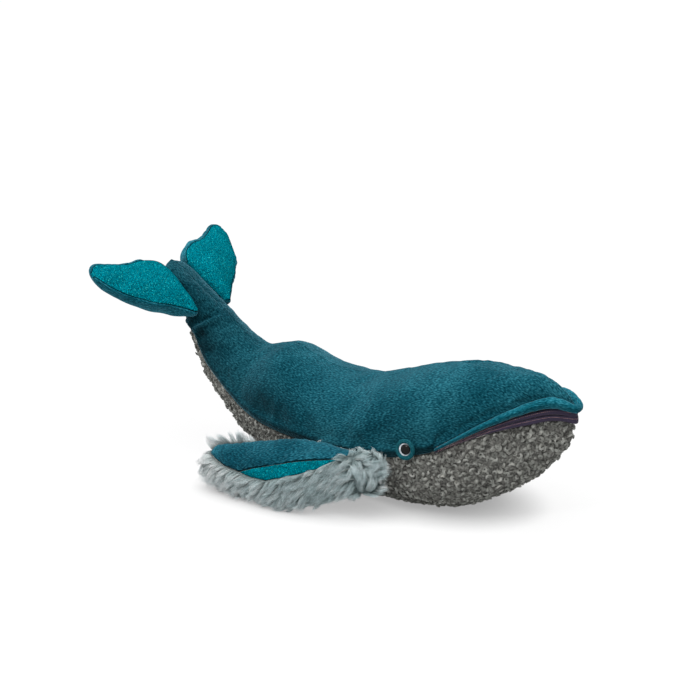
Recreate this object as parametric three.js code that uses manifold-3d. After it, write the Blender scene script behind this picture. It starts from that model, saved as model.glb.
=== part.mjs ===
import * as THREE from 'three';
import { mergeVertices } from 'three/addons/utils/BufferGeometryUtils.js';
import Module from 'manifold-3d';

// A stuffed plush whale lying on its belly, in millimetres.
// X runs from the tail to the nose, Y to the whale's left, Z up from the floor.

// Body sizes
const bodyLength = 485; // front of the head to the end of the tail tongue
const bodyHeight = 143; // floor to the top of the head
const bodyHalfWidth = 74; // at the widest place, behind the eyes
const velourThickness = 2.6;
const fleeceThickness = 6; // curly fleece with its pile
const seamBlend = 9; // width over which one fabric's thickness turns into the other's
const seamGap = 0.3; // between two panels along a seam
const fillingGap = 1.3; // between a panel and the filling behind it
const restCut = 0.5; // depth of the flat places that the whale rests on
const bellyFullness = 1.6; // 1 gives a round belly, more a flatter and wider one
const tailFullness = 1.05; // the same under the tail

// Mouth sizes
const lipRadius = 5.6;
const lipCornerRadius = 2;
const liningHeight = 5.5; // height of each of the two folds of lining
const liningThickness = 5;
const liningCornerShare = 0.28;

// Eye sizes
const eyeWhiteRadius = 6.2;
const eyeWhiteThickness = 1.3;
const pupilRadius = 4.7;
const pupilHeight = 3.1;
const shankRadius = 2.2;
const shankLength = 12;
const washerRadius = 6.5;
const washerThickness = 1.6;
const washerGap = 0.7; // between the washer and the fabric it holds
const surroundRadius = 10.2;
const surroundHeight = 4.2;
const surroundFloor = 1.6;
const eyeGap = 0.3;
const shankFit = 0.15;

// Flipper sizes
const flipperLength = 190;
const flipperChord = 65;
const flipperThickness = 23; // of the filling, at its thickest
const flipperTopShare = 0.6; // of the thickness, above its seam
const furThickness = 8.5; // fur with its pile
const flipperTilt = 50; // degrees that the pad hangs down from level
const hingeGap = 0.9; // between a limb's seam edge and the body
const pinchPower = 1.25; // 1 gives a limb round edges, more a pinched seam
const bulgePower = 0.85; // the same for the under side of a fluke

// Fluke sizes
const flukeReach = 88; // from the tail tongue to the tip
const flukeChord = 100;
const flukeThickness = 30;
const flukeTopShare = 0.3; // of the thickness, above its seam
const flukeDroop = 3; // degrees that its tip hangs below its root
const tailRoll = 3; // degrees that the flukes lean over to the whale's right
const flukeSkin = 2;

// Body stations from the nose to the tail: back x and z, belly x and z, half width
// and the height of the widest place. x is a share of the body length behind the nose.
const stationShares = [
  [-0.001, 0.912, 0.0, 0.69, 0.0, 0.5],
  [0.006, 0.924, 0.003, 0.63, 0.1, 0.5],
  [0.021, 0.944, 0.014, 0.545, 0.16, 0.48],
  [0.045, 0.966, 0.037, 0.448, 0.255, 0.46],
  [0.074, 0.988, 0.063, 0.343, 0.4, 0.45],
  [0.109, 1.003, 0.1, 0.234, 0.58, 0.44],
  [0.155, 1.015, 0.15, 0.129, 0.77, 0.44],
  [0.212, 1.012, 0.215, 0.038, 0.9, 0.44],
  [0.287, 0.964, 0.289, 0.002, 0.973, 0.44],
  [0.384, 0.865, 0.386, 0.0, 1.0, 0.44],
  [0.458, 0.79, 0.462, 0.006, 0.973, 0.44],
  [0.544, 0.783, 0.553, 0.028, 0.892, 0.44],
  [0.612, 0.845, 0.627, 0.056, 0.811, 0.44],
  [0.664, 0.893, 0.687, 0.084, 0.73, 0.44],
  [0.734, 0.835, 0.744, 0.145, 0.605, 0.46],
  [0.777, 0.878, 0.81, 0.315, 0.505, 0.48],
  [0.814, 0.967, 0.866, 0.462, 0.425, 0.5],
  [0.851, 1.052, 0.903, 0.643, 0.355, 0.52],
  [0.874, 1.115, 0.924, 0.818, 0.295, 0.54],
  [0.9, 1.178, 0.939, 1.0, 0.252, 0.56],
  [0.928, 1.241, 0.959, 1.12, 0.23, 0.56],
  [0.955, 1.301, 0.977, 1.19, 0.215, 0.56],
  [0.977, 1.336, 0.994, 1.245, 0.189, 0.55],
  [0.99, 1.343, 0.999, 1.294, 0.0, 0.5],
];

// Lower edge of the lip roll, seen from the side, from the nose to the mouth corner
const lipLineShares = [
  [-0.03, 0.812], [0.0, 0.818], [0.016, 0.826], [0.036, 0.829], [0.058, 0.815],
  [0.09, 0.777], [0.134, 0.706], [0.181, 0.614], [0.233, 0.507], [0.26, 0.452],
];
// Seam between the back panels and the belly panel, from the mouth corner to the tail
const bellySeamShares = [
  [0.21, 0.555], [0.233, 0.507], [0.258, 0.473], [0.312, 0.419], [0.392, 0.376],
  [0.478, 0.356], [0.56, 0.36], [0.641, 0.37], [0.723, 0.418], [0.773, 0.494],
  [0.827, 0.605], [0.857, 0.68], [0.875, 0.756], [0.888, 0.835], [0.91, 0.88], [0.94, 0.93],
];
const cornerShare = 0.233; // mouth corner behind the nose
const bellyTaperShare = 0.08; // stretch over which the fleece gets thinner towards its end
const eyePlaceShares = [0.29, 0.495];

// Flipper sections: place along the pad, inner edge, outer edge and thickness
const flipperShares = [
  [0.0, 0.12, 0.42, 0.0],
  [0.03, 0.025, 0.48, 0.32],
  [0.09, 0.02, 0.55, 0.56],
  [0.2, 0.01, 0.67, 0.8],
  [0.34, 0.0, 0.86, 0.98],
  [0.48, 0.02, 1.0, 1.0],
  [0.62, 0.09, 0.99, 0.94],
  [0.75, 0.2, 0.95, 0.82],
  [0.86, 0.3, 0.92, 0.66],
  [0.95, 0.37, 0.82, 0.42],
  [1.0, 0.45, 0.64, 0.0],
];
// Across the pad's top, 0 at its inner line and 1 at the full chord
const velourEdgeShares = [
  [0.13, 0.0], [0.165, 0.1], [0.21, 0.21], [0.33, 0.315], [0.46, 0.43],
  [0.54, 0.52], [0.66, 0.64], [0.76, 0.75], [0.865, 0.71], [0.94, 0.635], [1.0, 0.55],
];
const glitterEdgeShares = [
  [0.13, 0.0], [0.21, 0.21], [0.25, 0.3], [0.3, 0.43], [0.375, 0.56],
  [0.475, 0.68], [0.58, 0.785], [0.68, 0.785], [0.76, 0.75], [0.865, 0.71], [1.0, 0.55],
];
const velourStartShare = 0.13;
const glitterSpanShares = [0.21, 0.76];
const furRiseShare = 4; // how steeply the fur's thickness rises at its edges
const hingeShares = [0.331, 0.462]; // where the sewn stretch starts and ends behind the nose
const hingeHeightShare = 0.404;

// Fluke sections: place from the root to the tip, leading edge, trailing edge, thickness
const flukeShares = [
  [0.0, 0.09, 0.7, 0.0],
  [0.03, 0.07, 0.76, 0.65],
  [0.12, 0.135, 0.83, 0.97],
  [0.3, 0.26, 0.885, 1.0],
  [0.46, 0.34, 0.89, 0.94],
  [0.6, 0.44, 0.915, 0.8],
  [0.74, 0.55, 0.965, 0.62],
  [0.86, 0.68, 1.01, 0.46],
  [0.95, 0.81, 1.01, 0.3],
  [1.0, 0.9, 0.96, 0.0],
];
// The root line along the tail, seen from the side
const rootStartShares = [0.868, 1.01];
const rootEndShares = [0.9855, 1.329];

// Mesh counts
const bodySteps = 30;
const tailStartPlace = 0.7; // from here on the body has twice as many rows
const backSteps = 10;
const bellySteps = 14;
const fillingSteps = 24;
const lipSteps = 28;
const lipSides = 8;
const flipperSteps = 14;
const flukeSteps = 10;
const turnSteps = 16;

const right = -1;
const left = 1;
const halfTurn = Math.PI;
const fullTurn = 2 * Math.PI;
const nudge = 0.004; // step for measuring a surface's slope
const shortest = 0.001; // corners nearer than this are one

const velourTeal = 0x14545f;
const glitterTeal = 0x0a7f88;
const fleeceGrey = 0x6e706c;
const furGrey = 0xa0afac;
const liningAubergine = 0x322637;
const fillingWhite = 0xe9e6dd;
const eyeRingTeal = 0x3c8287;
const eyeWhiteColor = 0xf4f4f0;
const pupilBlack = 0x0b0b0c;
const washerGrey = 0xd8d8d2;

const whale = new THREE.Group();

// Row of a table at a place from 0 to 1, smooth between its rows.
// Past either end the column that shrinks to zero comes back with its sign changed.
function smoothRow(table, place, shrinking) {
  const last = table.length - 1;
  const reach = Math.min(Math.max(place, 0), 1) * last;
  const start = Math.min(Math.floor(reach), last - 1);
  const t = reach - start;
  const mirror = (row) => row.map((value, column) => (column === shrinking ? -value : value));
  const before = start > 0 ? table[start - 1] : mirror(table[1]);
  const after = start + 2 <= last ? table[start + 2] : mirror(table[last - 1]);
  return table[start].map((value, column) => {
    const end = table[start + 1][column];
    const slopeIn = (end - before[column]) / 2;
    const slopeOut = (after[column] - value) / 2;
    const bend = end - value;
    const cubic = slopeIn + slopeOut - 2 * bend;
    const square = 3 * bend - 2 * slopeIn - slopeOut;
    return ((cubic * t + square) * t + slopeIn) * t + value;
  });
}

// Height of a line of points at a place, straight between its points
function lineAt(points, place) {
  let k = 0;
  while (k < points.length - 2 && points[k + 1][0] < place) k += 1;
  const [x0, y0] = points[k];
  const [x1, y1] = points[k + 1];
  const t = Math.min(Math.max((place - x0) / (x1 - x0), 0), 1);
  return y0 + (y1 - y0) * t;
}

// The same line rounded at its points
function roundedLine(points) {
  const curve = new THREE.SplineCurve(points.map(([x, y]) => new THREE.Vector2(x, y)));
  return curve.getPoints(points.length * lipSteps).map((point) => [point.x, point.y]);
}
const lipLine = roundedLine(lipLineShares);
const bellySeam = roundedLine(bellySeamShares);

function smoothStep(value) {
  const t = Math.min(Math.max(value, 0), 1);
  return t * t * (3 - 2 * t);
}

// Body section: angle 0 is the back, a half turn the belly, the right side comes first
function bodyPoint(place, angle) {
  if (place < 0) return bodyPoint(-place, -angle);
  if (place > 1) return bodyPoint(2 - place, -angle);
  const [backX, backZ, bellyX, bellyZ, half, widest] = smoothRow(stationShares, place, 4);
  const rise = Math.cos(angle);
  const toTail = smoothStep((place - 1 / 2) * 4);
  const fall = (1 + Math.min(rise, 0)) ** (bellyFullness + (tailFullness - bellyFullness) * toTail);
  const height = rise > 0 ? widest + (1 - widest) * rise : widest * fall;
  const x = -bodyLength * (bellyX + (backX - bellyX) * height);
  const z = bodyHeight * (bellyZ + (backZ - bellyZ) * height);
  return new THREE.Vector3(x, right * bodyHalfWidth * half * Math.sin(angle), z);
}

// Outward direction of a surface given as a function of place and angle
function outward(surface, place, angle) {
  const across = surface(place, angle + nudge).sub(surface(place, angle - nudge));
  const along = surface(place + nudge, angle).sub(surface(place - nudge, angle));
  return across.cross(along).normalize();
}

// Outward direction of the body; at its ends and on its middle line it stays in the middle plane
function bodyNormal(place, angle) {
  const onLine = Math.abs(Math.sin(angle)) < 2 * nudge;
  const inner = Math.min(Math.max(place, 2 * nudge), 1 - 2 * nudge);
  const step = onLine ? 4 * nudge : 0;
  const normal = outward(bodyPoint, inner, angle + step).add(outward(bodyPoint, inner, angle - step));
  if (onLine || inner !== place) normal.y = 0;
  return normal.normalize().negate();
}

// Angle at which a section crosses a line drawn on the whale's side
function crossingAngle(place, line) {
  let low = 0;
  let high = halfTurn;
  for (let turn = 0; turn < 40; turn += 1) {
    const angle = (low + high) / 2;
    const point = bodyPoint(place, angle);
    const above = point.z / bodyHeight > lineAt(line, -point.x / bodyLength);
    if (above) low = angle;
    else high = angle;
  }
  return (low + high) / 2;
}

// Angle that a length takes on a section near an angle
function angleFor(length, place, angle) {
  const span = bodyPoint(place, angle + nudge).distanceTo(bodyPoint(place, angle - nudge));
  return (length * 2 * nudge) / Math.max(span, shortest);
}

// Angle reached from another one by walking a length round the section
function angleAfter(length, place, angle) {
  const strides = 12;
  let reached = angle;
  for (let stride = 0; stride < strides; stride += 1) reached += angleFor(length / strides, place, reached);
  return Math.min(Math.max(reached, 0), halfTurn);
}

// Point of the body's right side that the side view shows at a given x and z
function sidePoint(target) {
  const level = [[0, target.z / bodyHeight], [1, target.z / bodyHeight]];
  let low = 0;
  let high = 1;
  for (let turn = 0; turn < 40; turn += 1) {
    const middle = (low + high) / 2;
    if (bodyPoint(middle, crossingAngle(middle, level)).x > target.x) low = middle;
    else high = middle;
  }
  return bodyPoint(low, crossingAngle(low, level));
}

const placeOf = (share) => {
  let low = 0;
  let high = 1;
  for (let turn = 0; turn < 40; turn += 1) {
    const middle = (low + high) / 2;
    if (-bodyPoint(middle, halfTurn / 2).x / bodyLength < share) low = middle;
    else high = middle;
  }
  return (low + high) / 2;
};
const cornerPlace = placeOf(cornerShare);

// Edges of the panels on each section
const lipRadiusAt = (place) => {
  const t = smoothStep(1 - place / cornerPlace);
  return lipCornerRadius + (lipRadius - lipCornerRadius) * Math.sqrt(t);
};
const liningScaleAt = (place) => {
  const t = smoothStep((1 - place / cornerPlace) * 2);
  return liningCornerShare + (1 - liningCornerShare) * t;
};
const lipCentreAngle = (place) => {
  const edge = crossingAngle(place, lipLine);
  return angleAfter(-lipRadiusAt(place), place, edge);
};
const seamAngle = (place) => Math.min(crossingAngle(place, bellySeam), halfTurn);

const mouthHeights = (place) => {
  const roll = lipRadiusAt(place) + seamGap;
  const fold = liningHeight * liningScaleAt(place) + seamGap;
  return { roll, fold };
};

const backEdge = (place) => {
  if (place >= cornerPlace) return angleAfter(-seamGap, place, seamAngle(place));
  const edge = angleAfter(-mouthHeights(place).roll, place, lipCentreAngle(place));
  return Math.max(edge, angleFor(velourThickness, place, edge));
};
const bellyEdge = (place) => {
  if (place >= cornerPlace) return angleAfter(seamGap, place, seamAngle(place));
  const { roll, fold } = mouthHeights(place);
  return angleAfter(roll + 2 * fold + seamGap, place, lipCentreAngle(place));
};

// Where the belly panel ends under the tail
const bellyEndPlace = (() => {
  let low = cornerPlace;
  let high = 1;
  for (let turn = 0; turn < 40; turn += 1) {
    const middle = (low + high) / 2;
    if (bellyEdge(middle) < halfTurn) low = middle;
    else high = middle;
  }
  return low;
})();

// Thickness of the fabric at a place of the body; its change at the seam can be led by a length
function skinThickness(place, angle, lead = 0) {
  const turned = Math.acos(Math.cos(angle));
  const edge = (backEdge(place) + bellyEdge(place)) / 2;
  const past = (turned - edge) / angleFor(seamBlend, place, edge) + lead / seamBlend;
  const taper = smoothStep((bellyEndPlace - place) / bellyTaperShare);
  return velourThickness + (fleeceThickness - velourThickness) * smoothStep(past + 1 / 2) * taper;
}

function bodyLayer(place, angle, depth) {
  const inner = bodyNormal(place, angle).multiplyScalar(-depth);
  const point = bodyPoint(place, angle).add(inner);
  point.z = Math.max(point.z, restCut);
  return point;
}

// Geometry with shared corners, no empty triangles, and its faces turned outwards
function closedGeometry(rough) {
  const merged = mergeVertices(rough, shortest);
  const index = merged.getIndex().array;
  const place = merged.getAttribute('position');
  const corner = [new THREE.Vector3(), new THREE.Vector3(), new THREE.Vector3()];
  const kept = [];
  let volume = 0;
  for (let k = 0; k < index.length; k += 3) {
    const [a, b, c] = [index[k], index[k + 1], index[k + 2]];
    if (a === b || b === c || c === a) continue;
    kept.push(a, b, c);
    [a, b, c].forEach((n, m) => corner[m].fromBufferAttribute(place, n));
    volume += corner[0].dot(corner[1].cross(corner[2]));
  }
  if (volume < 0) kept.reverse();
  merged.setIndex(kept);
  return merged;
}

function gridGeometry(points, triangles) {
  const geometry = new THREE.BufferGeometry();
  geometry.setAttribute('position', new THREE.Float32BufferAttribute(points, 3));
  geometry.setIndex(triangles);
  return closedGeometry(geometry);
}

// Sheet with thickness over a stretch of a surface, closed at its edges.
// A first row that is folded onto itself needs no closing.
function panelGeometry(places, span, steps, outer, inner, folded = false) {
  const points = [];
  const triangles = [];
  const rows = places.length;
  const columns = steps + 1;
  for (const layer of [outer, inner]) {
    for (const place of places) {
      const [from, to] = span(place);
      for (let k = 0; k < columns; k += 1) {
        points.push(...layer(place, from + ((to - from) * k) / steps).toArray());
      }
    }
  }
  const at = (layer, row, column) => (layer * rows + row) * columns + column;
  const quad = (a, b, c, d) => triangles.push(a, b, c, a, c, d);
  for (let row = 0; row < rows - 1; row += 1) {
    for (let k = 0; k < steps; k += 1) {
      quad(at(0, row, k), at(0, row + 1, k), at(0, row + 1, k + 1), at(0, row, k + 1));
      quad(at(1, row, k), at(1, row, k + 1), at(1, row + 1, k + 1), at(1, row + 1, k));
    }
    quad(at(0, row, 0), at(1, row, 0), at(1, row + 1, 0), at(0, row + 1, 0));
    quad(at(0, row, steps), at(0, row + 1, steps), at(1, row + 1, steps), at(1, row, steps));
  }
  const end = rows - 1;
  for (let k = 0; k < steps; k += 1) {
    if (!folded) quad(at(0, 0, k), at(0, 0, k + 1), at(1, 0, k + 1), at(1, 0, k));
    quad(at(0, end, k), at(1, end, k), at(1, end, k + 1), at(0, end, k + 1));
  }
  return gridGeometry(points, triangles);
}

// Solid around a whole surface whose end sections have no width
function padGeometry(places, steps, surface) {
  const points = [];
  const triangles = [];
  for (const place of places) {
    for (let k = 0; k < steps; k += 1) points.push(...surface(place, (fullTurn * k) / steps).toArray());
  }
  for (let row = 0; row < places.length - 1; row += 1) {
    for (let k = 0; k < steps; k += 1) {
      const next = (k + 1) % steps;
      const [a, b] = [row * steps + k, row * steps + next];
      triangles.push(a, a + steps, b + steps, a, b + steps, b);
    }
  }
  return gridGeometry(points, triangles);
}

// Roll of changing section along a row of frames, with flat ends
function rollGeometry(frames, sides) {
  const points = [];
  const triangles = [];
  for (const { centre, up, out, height, thickness } of frames) {
    for (let k = 0; k < sides; k += 1) {
      const angle = (fullTurn * k) / sides;
      const rise = up.clone().multiplyScalar(height * Math.cos(angle));
      const stand = out.clone().multiplyScalar(thickness * Math.sin(angle));
      points.push(...centre.clone().add(rise).add(stand).toArray());
    }
  }
  const rows = frames.length;
  for (let row = 0; row < rows - 1; row += 1) {
    for (let k = 0; k < sides; k += 1) {
      const next = (k + 1) % sides;
      const [a, b] = [row * sides + k, row * sides + next];
      triangles.push(a, a + sides, b + sides, a, b + sides, b);
    }
  }
  for (let k = 1; k < sides - 1; k += 1) {
    const end = (rows - 1) * sides;
    triangles.push(0, k, k + 1, end, end + k + 1, end + k);
  }
  return gridGeometry(points, triangles);
}

function addPiece(name, geometry, color, roughness, parent = whale) {
  const material = new THREE.MeshStandardMaterial({ color, roughness, metalness: 0 });
  const mesh = new THREE.Mesh(geometry, material);
  mesh.name = name;
  parent.add(mesh);
  return mesh;
}

const wasm = await Module();
wasm.setup();

function solidOf(geometry) {
  const bare = geometry.clone();
  bare.deleteAttribute('normal');
  bare.deleteAttribute('uv');
  const closed = closedGeometry(bare);
  return new wasm.Manifold(new wasm.Mesh({
    numProp: 3,
    vertProperties: new Float32Array(closed.getAttribute('position').array),
    triVerts: new Uint32Array(closed.getIndex().array),
  }));
}

function geometryOf(solid) {
  const mesh = solid.getMesh();
  const geometry = new THREE.BufferGeometry();
  geometry.setAttribute('position', new THREE.BufferAttribute(mesh.vertProperties, 3));
  geometry.setIndex([...mesh.triVerts]);
  return geometry;
}

function without(geometry, ...cutters) {
  const cut = cutters.reduce((solid, cutter) => solid.subtract(solidOf(cutter)), solidOf(geometry));
  return geometryOf(cut);
}

// Body panels and filling
const rowSpacing = 1 / bodySteps;
const evenPlaces = [...Array(bodySteps + 1).keys()].map((k) => k * rowSpacing);
const tailPlaces = evenPlaces.filter((k) => k > tailStartPlace).map((k) => k - rowSpacing / 2);
const edgePlaces = [cornerPlace - nudge / 2, cornerPlace, bellyEndPlace];
const bodyPlaces = [...evenPlaces, ...tailPlaces, ...edgePlaces].sort((a, b) => a - b);
const bellyPlaces = bodyPlaces.filter((place) => place <= bellyEndPlace);

function backPanel(side) {
  const span = (place) => [0, backEdge(place)];
  const shift = (point) => {
    const away = Math.min(point.y, 0) - seamGap / 2;
    return new THREE.Vector3(point.x, -side * away, point.z);
  };
  const outer = (place, angle) => shift(bodyLayer(place, angle, 0));
  const inner = (place, angle) => shift(bodyLayer(place, angle, skinThickness(place, angle)));
  return panelGeometry(bodyPlaces, span, backSteps, outer, inner);
}

function bellyPanel() {
  const span = (place) => {
    const edge = Math.min(bellyEdge(place), halfTurn);
    return [edge, fullTurn - edge];
  };
  const outer = (place, angle) => bodyLayer(place, angle, 0);
  const inner = (place, angle) => bodyLayer(place, angle, skinThickness(place, angle));
  return panelGeometry(bellyPlaces, span, bellySteps, outer, inner, true);
}

function bodyFilling() {
  const depth = (place, angle) => skinThickness(place, angle, seamBlend) + fillingGap;
  const surface = (place, angle) => bodyLayer(place, angle, depth(place, angle));
  return padGeometry(bodyPlaces, fillingSteps, surface);
}

// Lip and mouth lining, from the right mouth corner round the nose to the left one
function mouthFrames(angleAt, standAt, heightAt, thicknessAt) {
  const frames = [];
  for (let k = -lipSteps / 2; k <= lipSteps / 2; k += 1) {
    const share = Math.abs(k) / (lipSteps / 2);
    const place = (cornerPlace - 2 * nudge) * share;
    const angle = angleAt(place);
    const out = bodyNormal(place, angle);
    const centre = bodyPoint(place, angle).addScaledVector(out, standAt(place));
    const up = bodyPoint(place, angle - nudge).sub(bodyPoint(place, angle + nudge)).normalize();
    if (k > 0) {
      centre.y *= -1;
      out.y *= -1;
      up.y *= -1;
    }
    frames.push({ centre, up, out, height: heightAt(place), thickness: thicknessAt(place) });
  }
  return frames;
}

function lipRoll() {
  const stand = (place) => lipRadiusAt(place) + seamGap - velourThickness;
  return rollGeometry(mouthFrames(lipCentreAngle, stand, lipRadiusAt, lipRadiusAt), lipSides);
}

function liningFold(order) {
  const angle = (place) => {
    const centre = lipCentreAngle(place);
    const { roll, fold } = mouthHeights(place);
    return angleAfter(roll + fold * (order + 1 / 2), place, centre);
  };
  const half = (place) => (liningThickness / 2) * liningScaleAt(place);
  const stand = (place) => half(place) + seamGap - velourThickness;
  const height = (place) => (liningHeight / 2) * liningScaleAt(place);
  return rollGeometry(mouthFrames(angle, stand, height, half), lipSides);
}

// Eye pieces stand on the body's surface, turned to face straight out from it
function eyeFrame(side) {
  const place = placeOf(eyePlaceShares[0]);
  const angle = crossingAngle(place, [[0, eyePlaceShares[1]], [1, eyePlaceShares[1]]]);
  const centre = bodyPoint(place, angle);
  const out = bodyNormal(place, angle);
  centre.y *= -side;
  out.y *= -side;
  return { centre, out };
}

function standOn(geometry, { centre, out }, height = 0) {
  const turn = new THREE.Quaternion().setFromUnitVectors(new THREE.Vector3(0, 1, 0), out);
  geometry.applyQuaternion(turn);
  geometry.translate(...centre.clone().addScaledVector(out, height).toArray());
  return geometry;
}

function turned(profile) {
  const lathe = new THREE.LatheGeometry(profile.map(([r, h]) => new THREE.Vector2(r, h)), turnSteps);
  lathe.deleteAttribute('normal');
  lathe.deleteAttribute('uv');
  return closedGeometry(lathe);
}

function eyeSurround() {
  const cup = eyeWhiteRadius + eyeGap;
  const crown = (surroundRadius + cup) / 2;
  const hole = shankRadius + shankFit;
  return turned([
    [hole, 0], [surroundRadius - surroundFloor / 2, 0], [surroundRadius, surroundFloor],
    [surroundRadius - surroundFloor / 4, surroundHeight - surroundFloor / 2], [crown, surroundHeight],
    [cup, surroundHeight - surroundFloor / 2], [cup, surroundFloor], [hole, surroundFloor], [hole, 0],
  ]);
}

function eyeWhite() {
  const base = surroundFloor + eyeGap;
  const foot = base - shankLength;
  return turned([
    [0, foot], [shankRadius, foot], [shankRadius, base], [eyeWhiteRadius, base],
    [eyeWhiteRadius - eyeGap, base + eyeWhiteThickness], [0, base + eyeWhiteThickness],
  ]);
}

function eyePupil() {
  const base = surroundFloor + 2 * eyeGap + eyeWhiteThickness;
  const profile = [[0, base]];
  for (let k = 0; k <= 4; k += 1) {
    const angle = (halfTurn / 2) * (k / 4);
    profile.push([pupilRadius * Math.cos(angle), base + pupilHeight * Math.sin(angle)]);
  }
  profile[profile.length - 1][0] = 0;
  return turned(profile);
}

function eyeWasher() {
  const top = -fleeceThickness - washerGap;
  const hole = shankRadius + shankFit;
  const foot = top - washerThickness;
  return turned([[hole, foot], [washerRadius, foot], [washerRadius, top], [hole, top], [hole, foot]]);
}

function eyeRod(radius, from, to) {
  return turned([[0, from], [radius, from], [radius, to], [0, to]]);
}

const panels = { [right]: backPanel(right), [left]: backPanel(left) };
let filling = bodyFilling();
for (const [side, name] of [[right, 'right'], [left, 'left']]) {
  const frame = eyeFrame(side);
  const reach = shankLength + surroundFloor;
  const hole = standOn(eyeRod(shankRadius + shankFit, -reach, reach), frame);
  panels[side] = without(panels[side], hole);
  const pocketFloor = -shankLength - washerThickness;
  const pocket = standOn(eyeRod(washerRadius + eyeGap, pocketFloor, reach), frame);
  filling = without(filling, pocket);
  addPiece(`eye_surround_${name}`, standOn(eyeSurround(), frame, eyeGap), eyeRingTeal, 0.9);
  addPiece(`eye_white_${name}`, standOn(eyeWhite(), frame, eyeGap), eyeWhiteColor, 0.35);
  addPiece(`eye_pupil_${name}`, standOn(eyePupil(), frame, eyeGap), pupilBlack, 0.1);
  addPiece(`eye_washer_${name}`, standOn(eyeWasher(), frame), washerGrey, 0.5);
  addPiece(`back_panel_${name}`, panels[side], velourTeal, 0.95);
}
addPiece('belly_panel', bellyPanel(), fleeceGrey, 1);
addPiece('body_filling', filling, fillingWhite, 1);
addPiece('upper_lip_roll', lipRoll(), velourTeal, 0.95);
addPiece('mouth_lining_upper', liningFold(0), liningAubergine, 0.85);
addPiece('mouth_lining_lower', liningFold(1), liningAubergine, 0.85);

// A limb is a pad between two edges in one plane, with pinched seams round it.
// Its frame gives the origin, the way along it, the way across it and its upper side.
function limbSurface({ frame, table, long, wide, above, below, underPower }) {
  const surface = (place, angle) => {
    if (place < 0) return surface(-place, -angle);
    if (place > 1) return surface(2 - place, -angle);
    const [reach, near, far, swell] = smoothRow(table, place, 3);
    const across = (near + far) / 2 + ((far - near) / 2) * Math.cos(angle);
    const turned = Math.sin(angle);
    const lift = turned > 0 ? above * turned ** pinchPower : -below * (-turned) ** underPower;
    return frame.origin.clone()
      .addScaledVector(frame.along, reach * long)
      .addScaledVector(frame.across, across * wide)
      .addScaledVector(frame.up, lift * swell);
  };
  return surface;
}

function limbNormal(surface, frame, place, angle) {
  const step = 6 * nudge;
  const inner = Math.min(Math.max(place, step), 1 - step);
  const onEdge = Math.abs(Math.sin(angle)) < step;
  const spread = onEdge ? step : 0;
  const normal = outward(surface, inner, angle + spread).add(outward(surface, inner, angle - spread));
  if (onEdge || inner !== place) normal.addScaledVector(frame.up, -normal.dot(frame.up));
  return normal.normalize().multiplyScalar(frame.turn);
}

// Pieces of a limb are layers of its surface, at a height outside its filling.
// The upper and the under pieces stand half a seam gap off the middle plane.
function limbLayer(surface, frame, heightAt, standAt) {
  return (place, angle) => {
    const point = surface(place, angle)
      .addScaledVector(limbNormal(surface, frame, place, angle), heightAt(place, angle))
      .addScaledVector(frame.up, (standAt(angle) * seamGap) / 2);
    point.z = Math.max(point.z, restCut);
    return point;
  };
}

function angleOnTop(share, inner, outer) {
  const across = (2 * (share - inner)) / (outer - inner) - 1;
  return Math.acos(Math.min(Math.max(across, -1), 1));
}

// Places along a limb, closer together towards its ends
function placesOf(steps, extra = []) {
  const places = [...Array(steps + 1).keys()].map((k) => (1 - Math.cos((halfTurn * k) / steps)) / 2);
  return [...places, ...extra].sort((a, b) => a - b);
}

// Place of a limb's table at a share of its length
function placeAlong(table, share) {
  let low = 0;
  let high = 1;
  for (let turn = 0; turn < 40; turn += 1) {
    const middle = (low + high) / 2;
    if (smoothRow(table, middle, 3)[0] < share) low = middle;
    else high = middle;
  }
  return (low + high) / 2;
}

// Flipper: its inner edge is sewn along the body's side behind the eye
function flipperFrame(side) {
  const [start, end] = hingeShares.map(placeOf);
  const level = [[0, hingeHeightShare], [1, hingeHeightShare]];
  const reach = [0, 1 / 4, 1 / 2, 3 / 4, 1].map((t) => {
    const place = start + (end - start) * t;
    return bodyPoint(place, crossingAngle(place, level));
  });
  const widest = Math.max(...reach.map((point) => Math.abs(point.y)));
  const tilt = THREE.MathUtils.degToRad(flipperTilt);
  const along = new THREE.Vector3(-1, 0, 0);
  const across = new THREE.Vector3(0, side, 0).applyAxisAngle(along, side * tilt);
  const up = along.clone().cross(across).multiplyScalar(-side);
  const origin = reach[0].clone();
  origin.y = side * (widest + velourThickness + hingeGap);
  return { origin, along, across, up, turn: -side };
}

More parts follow.
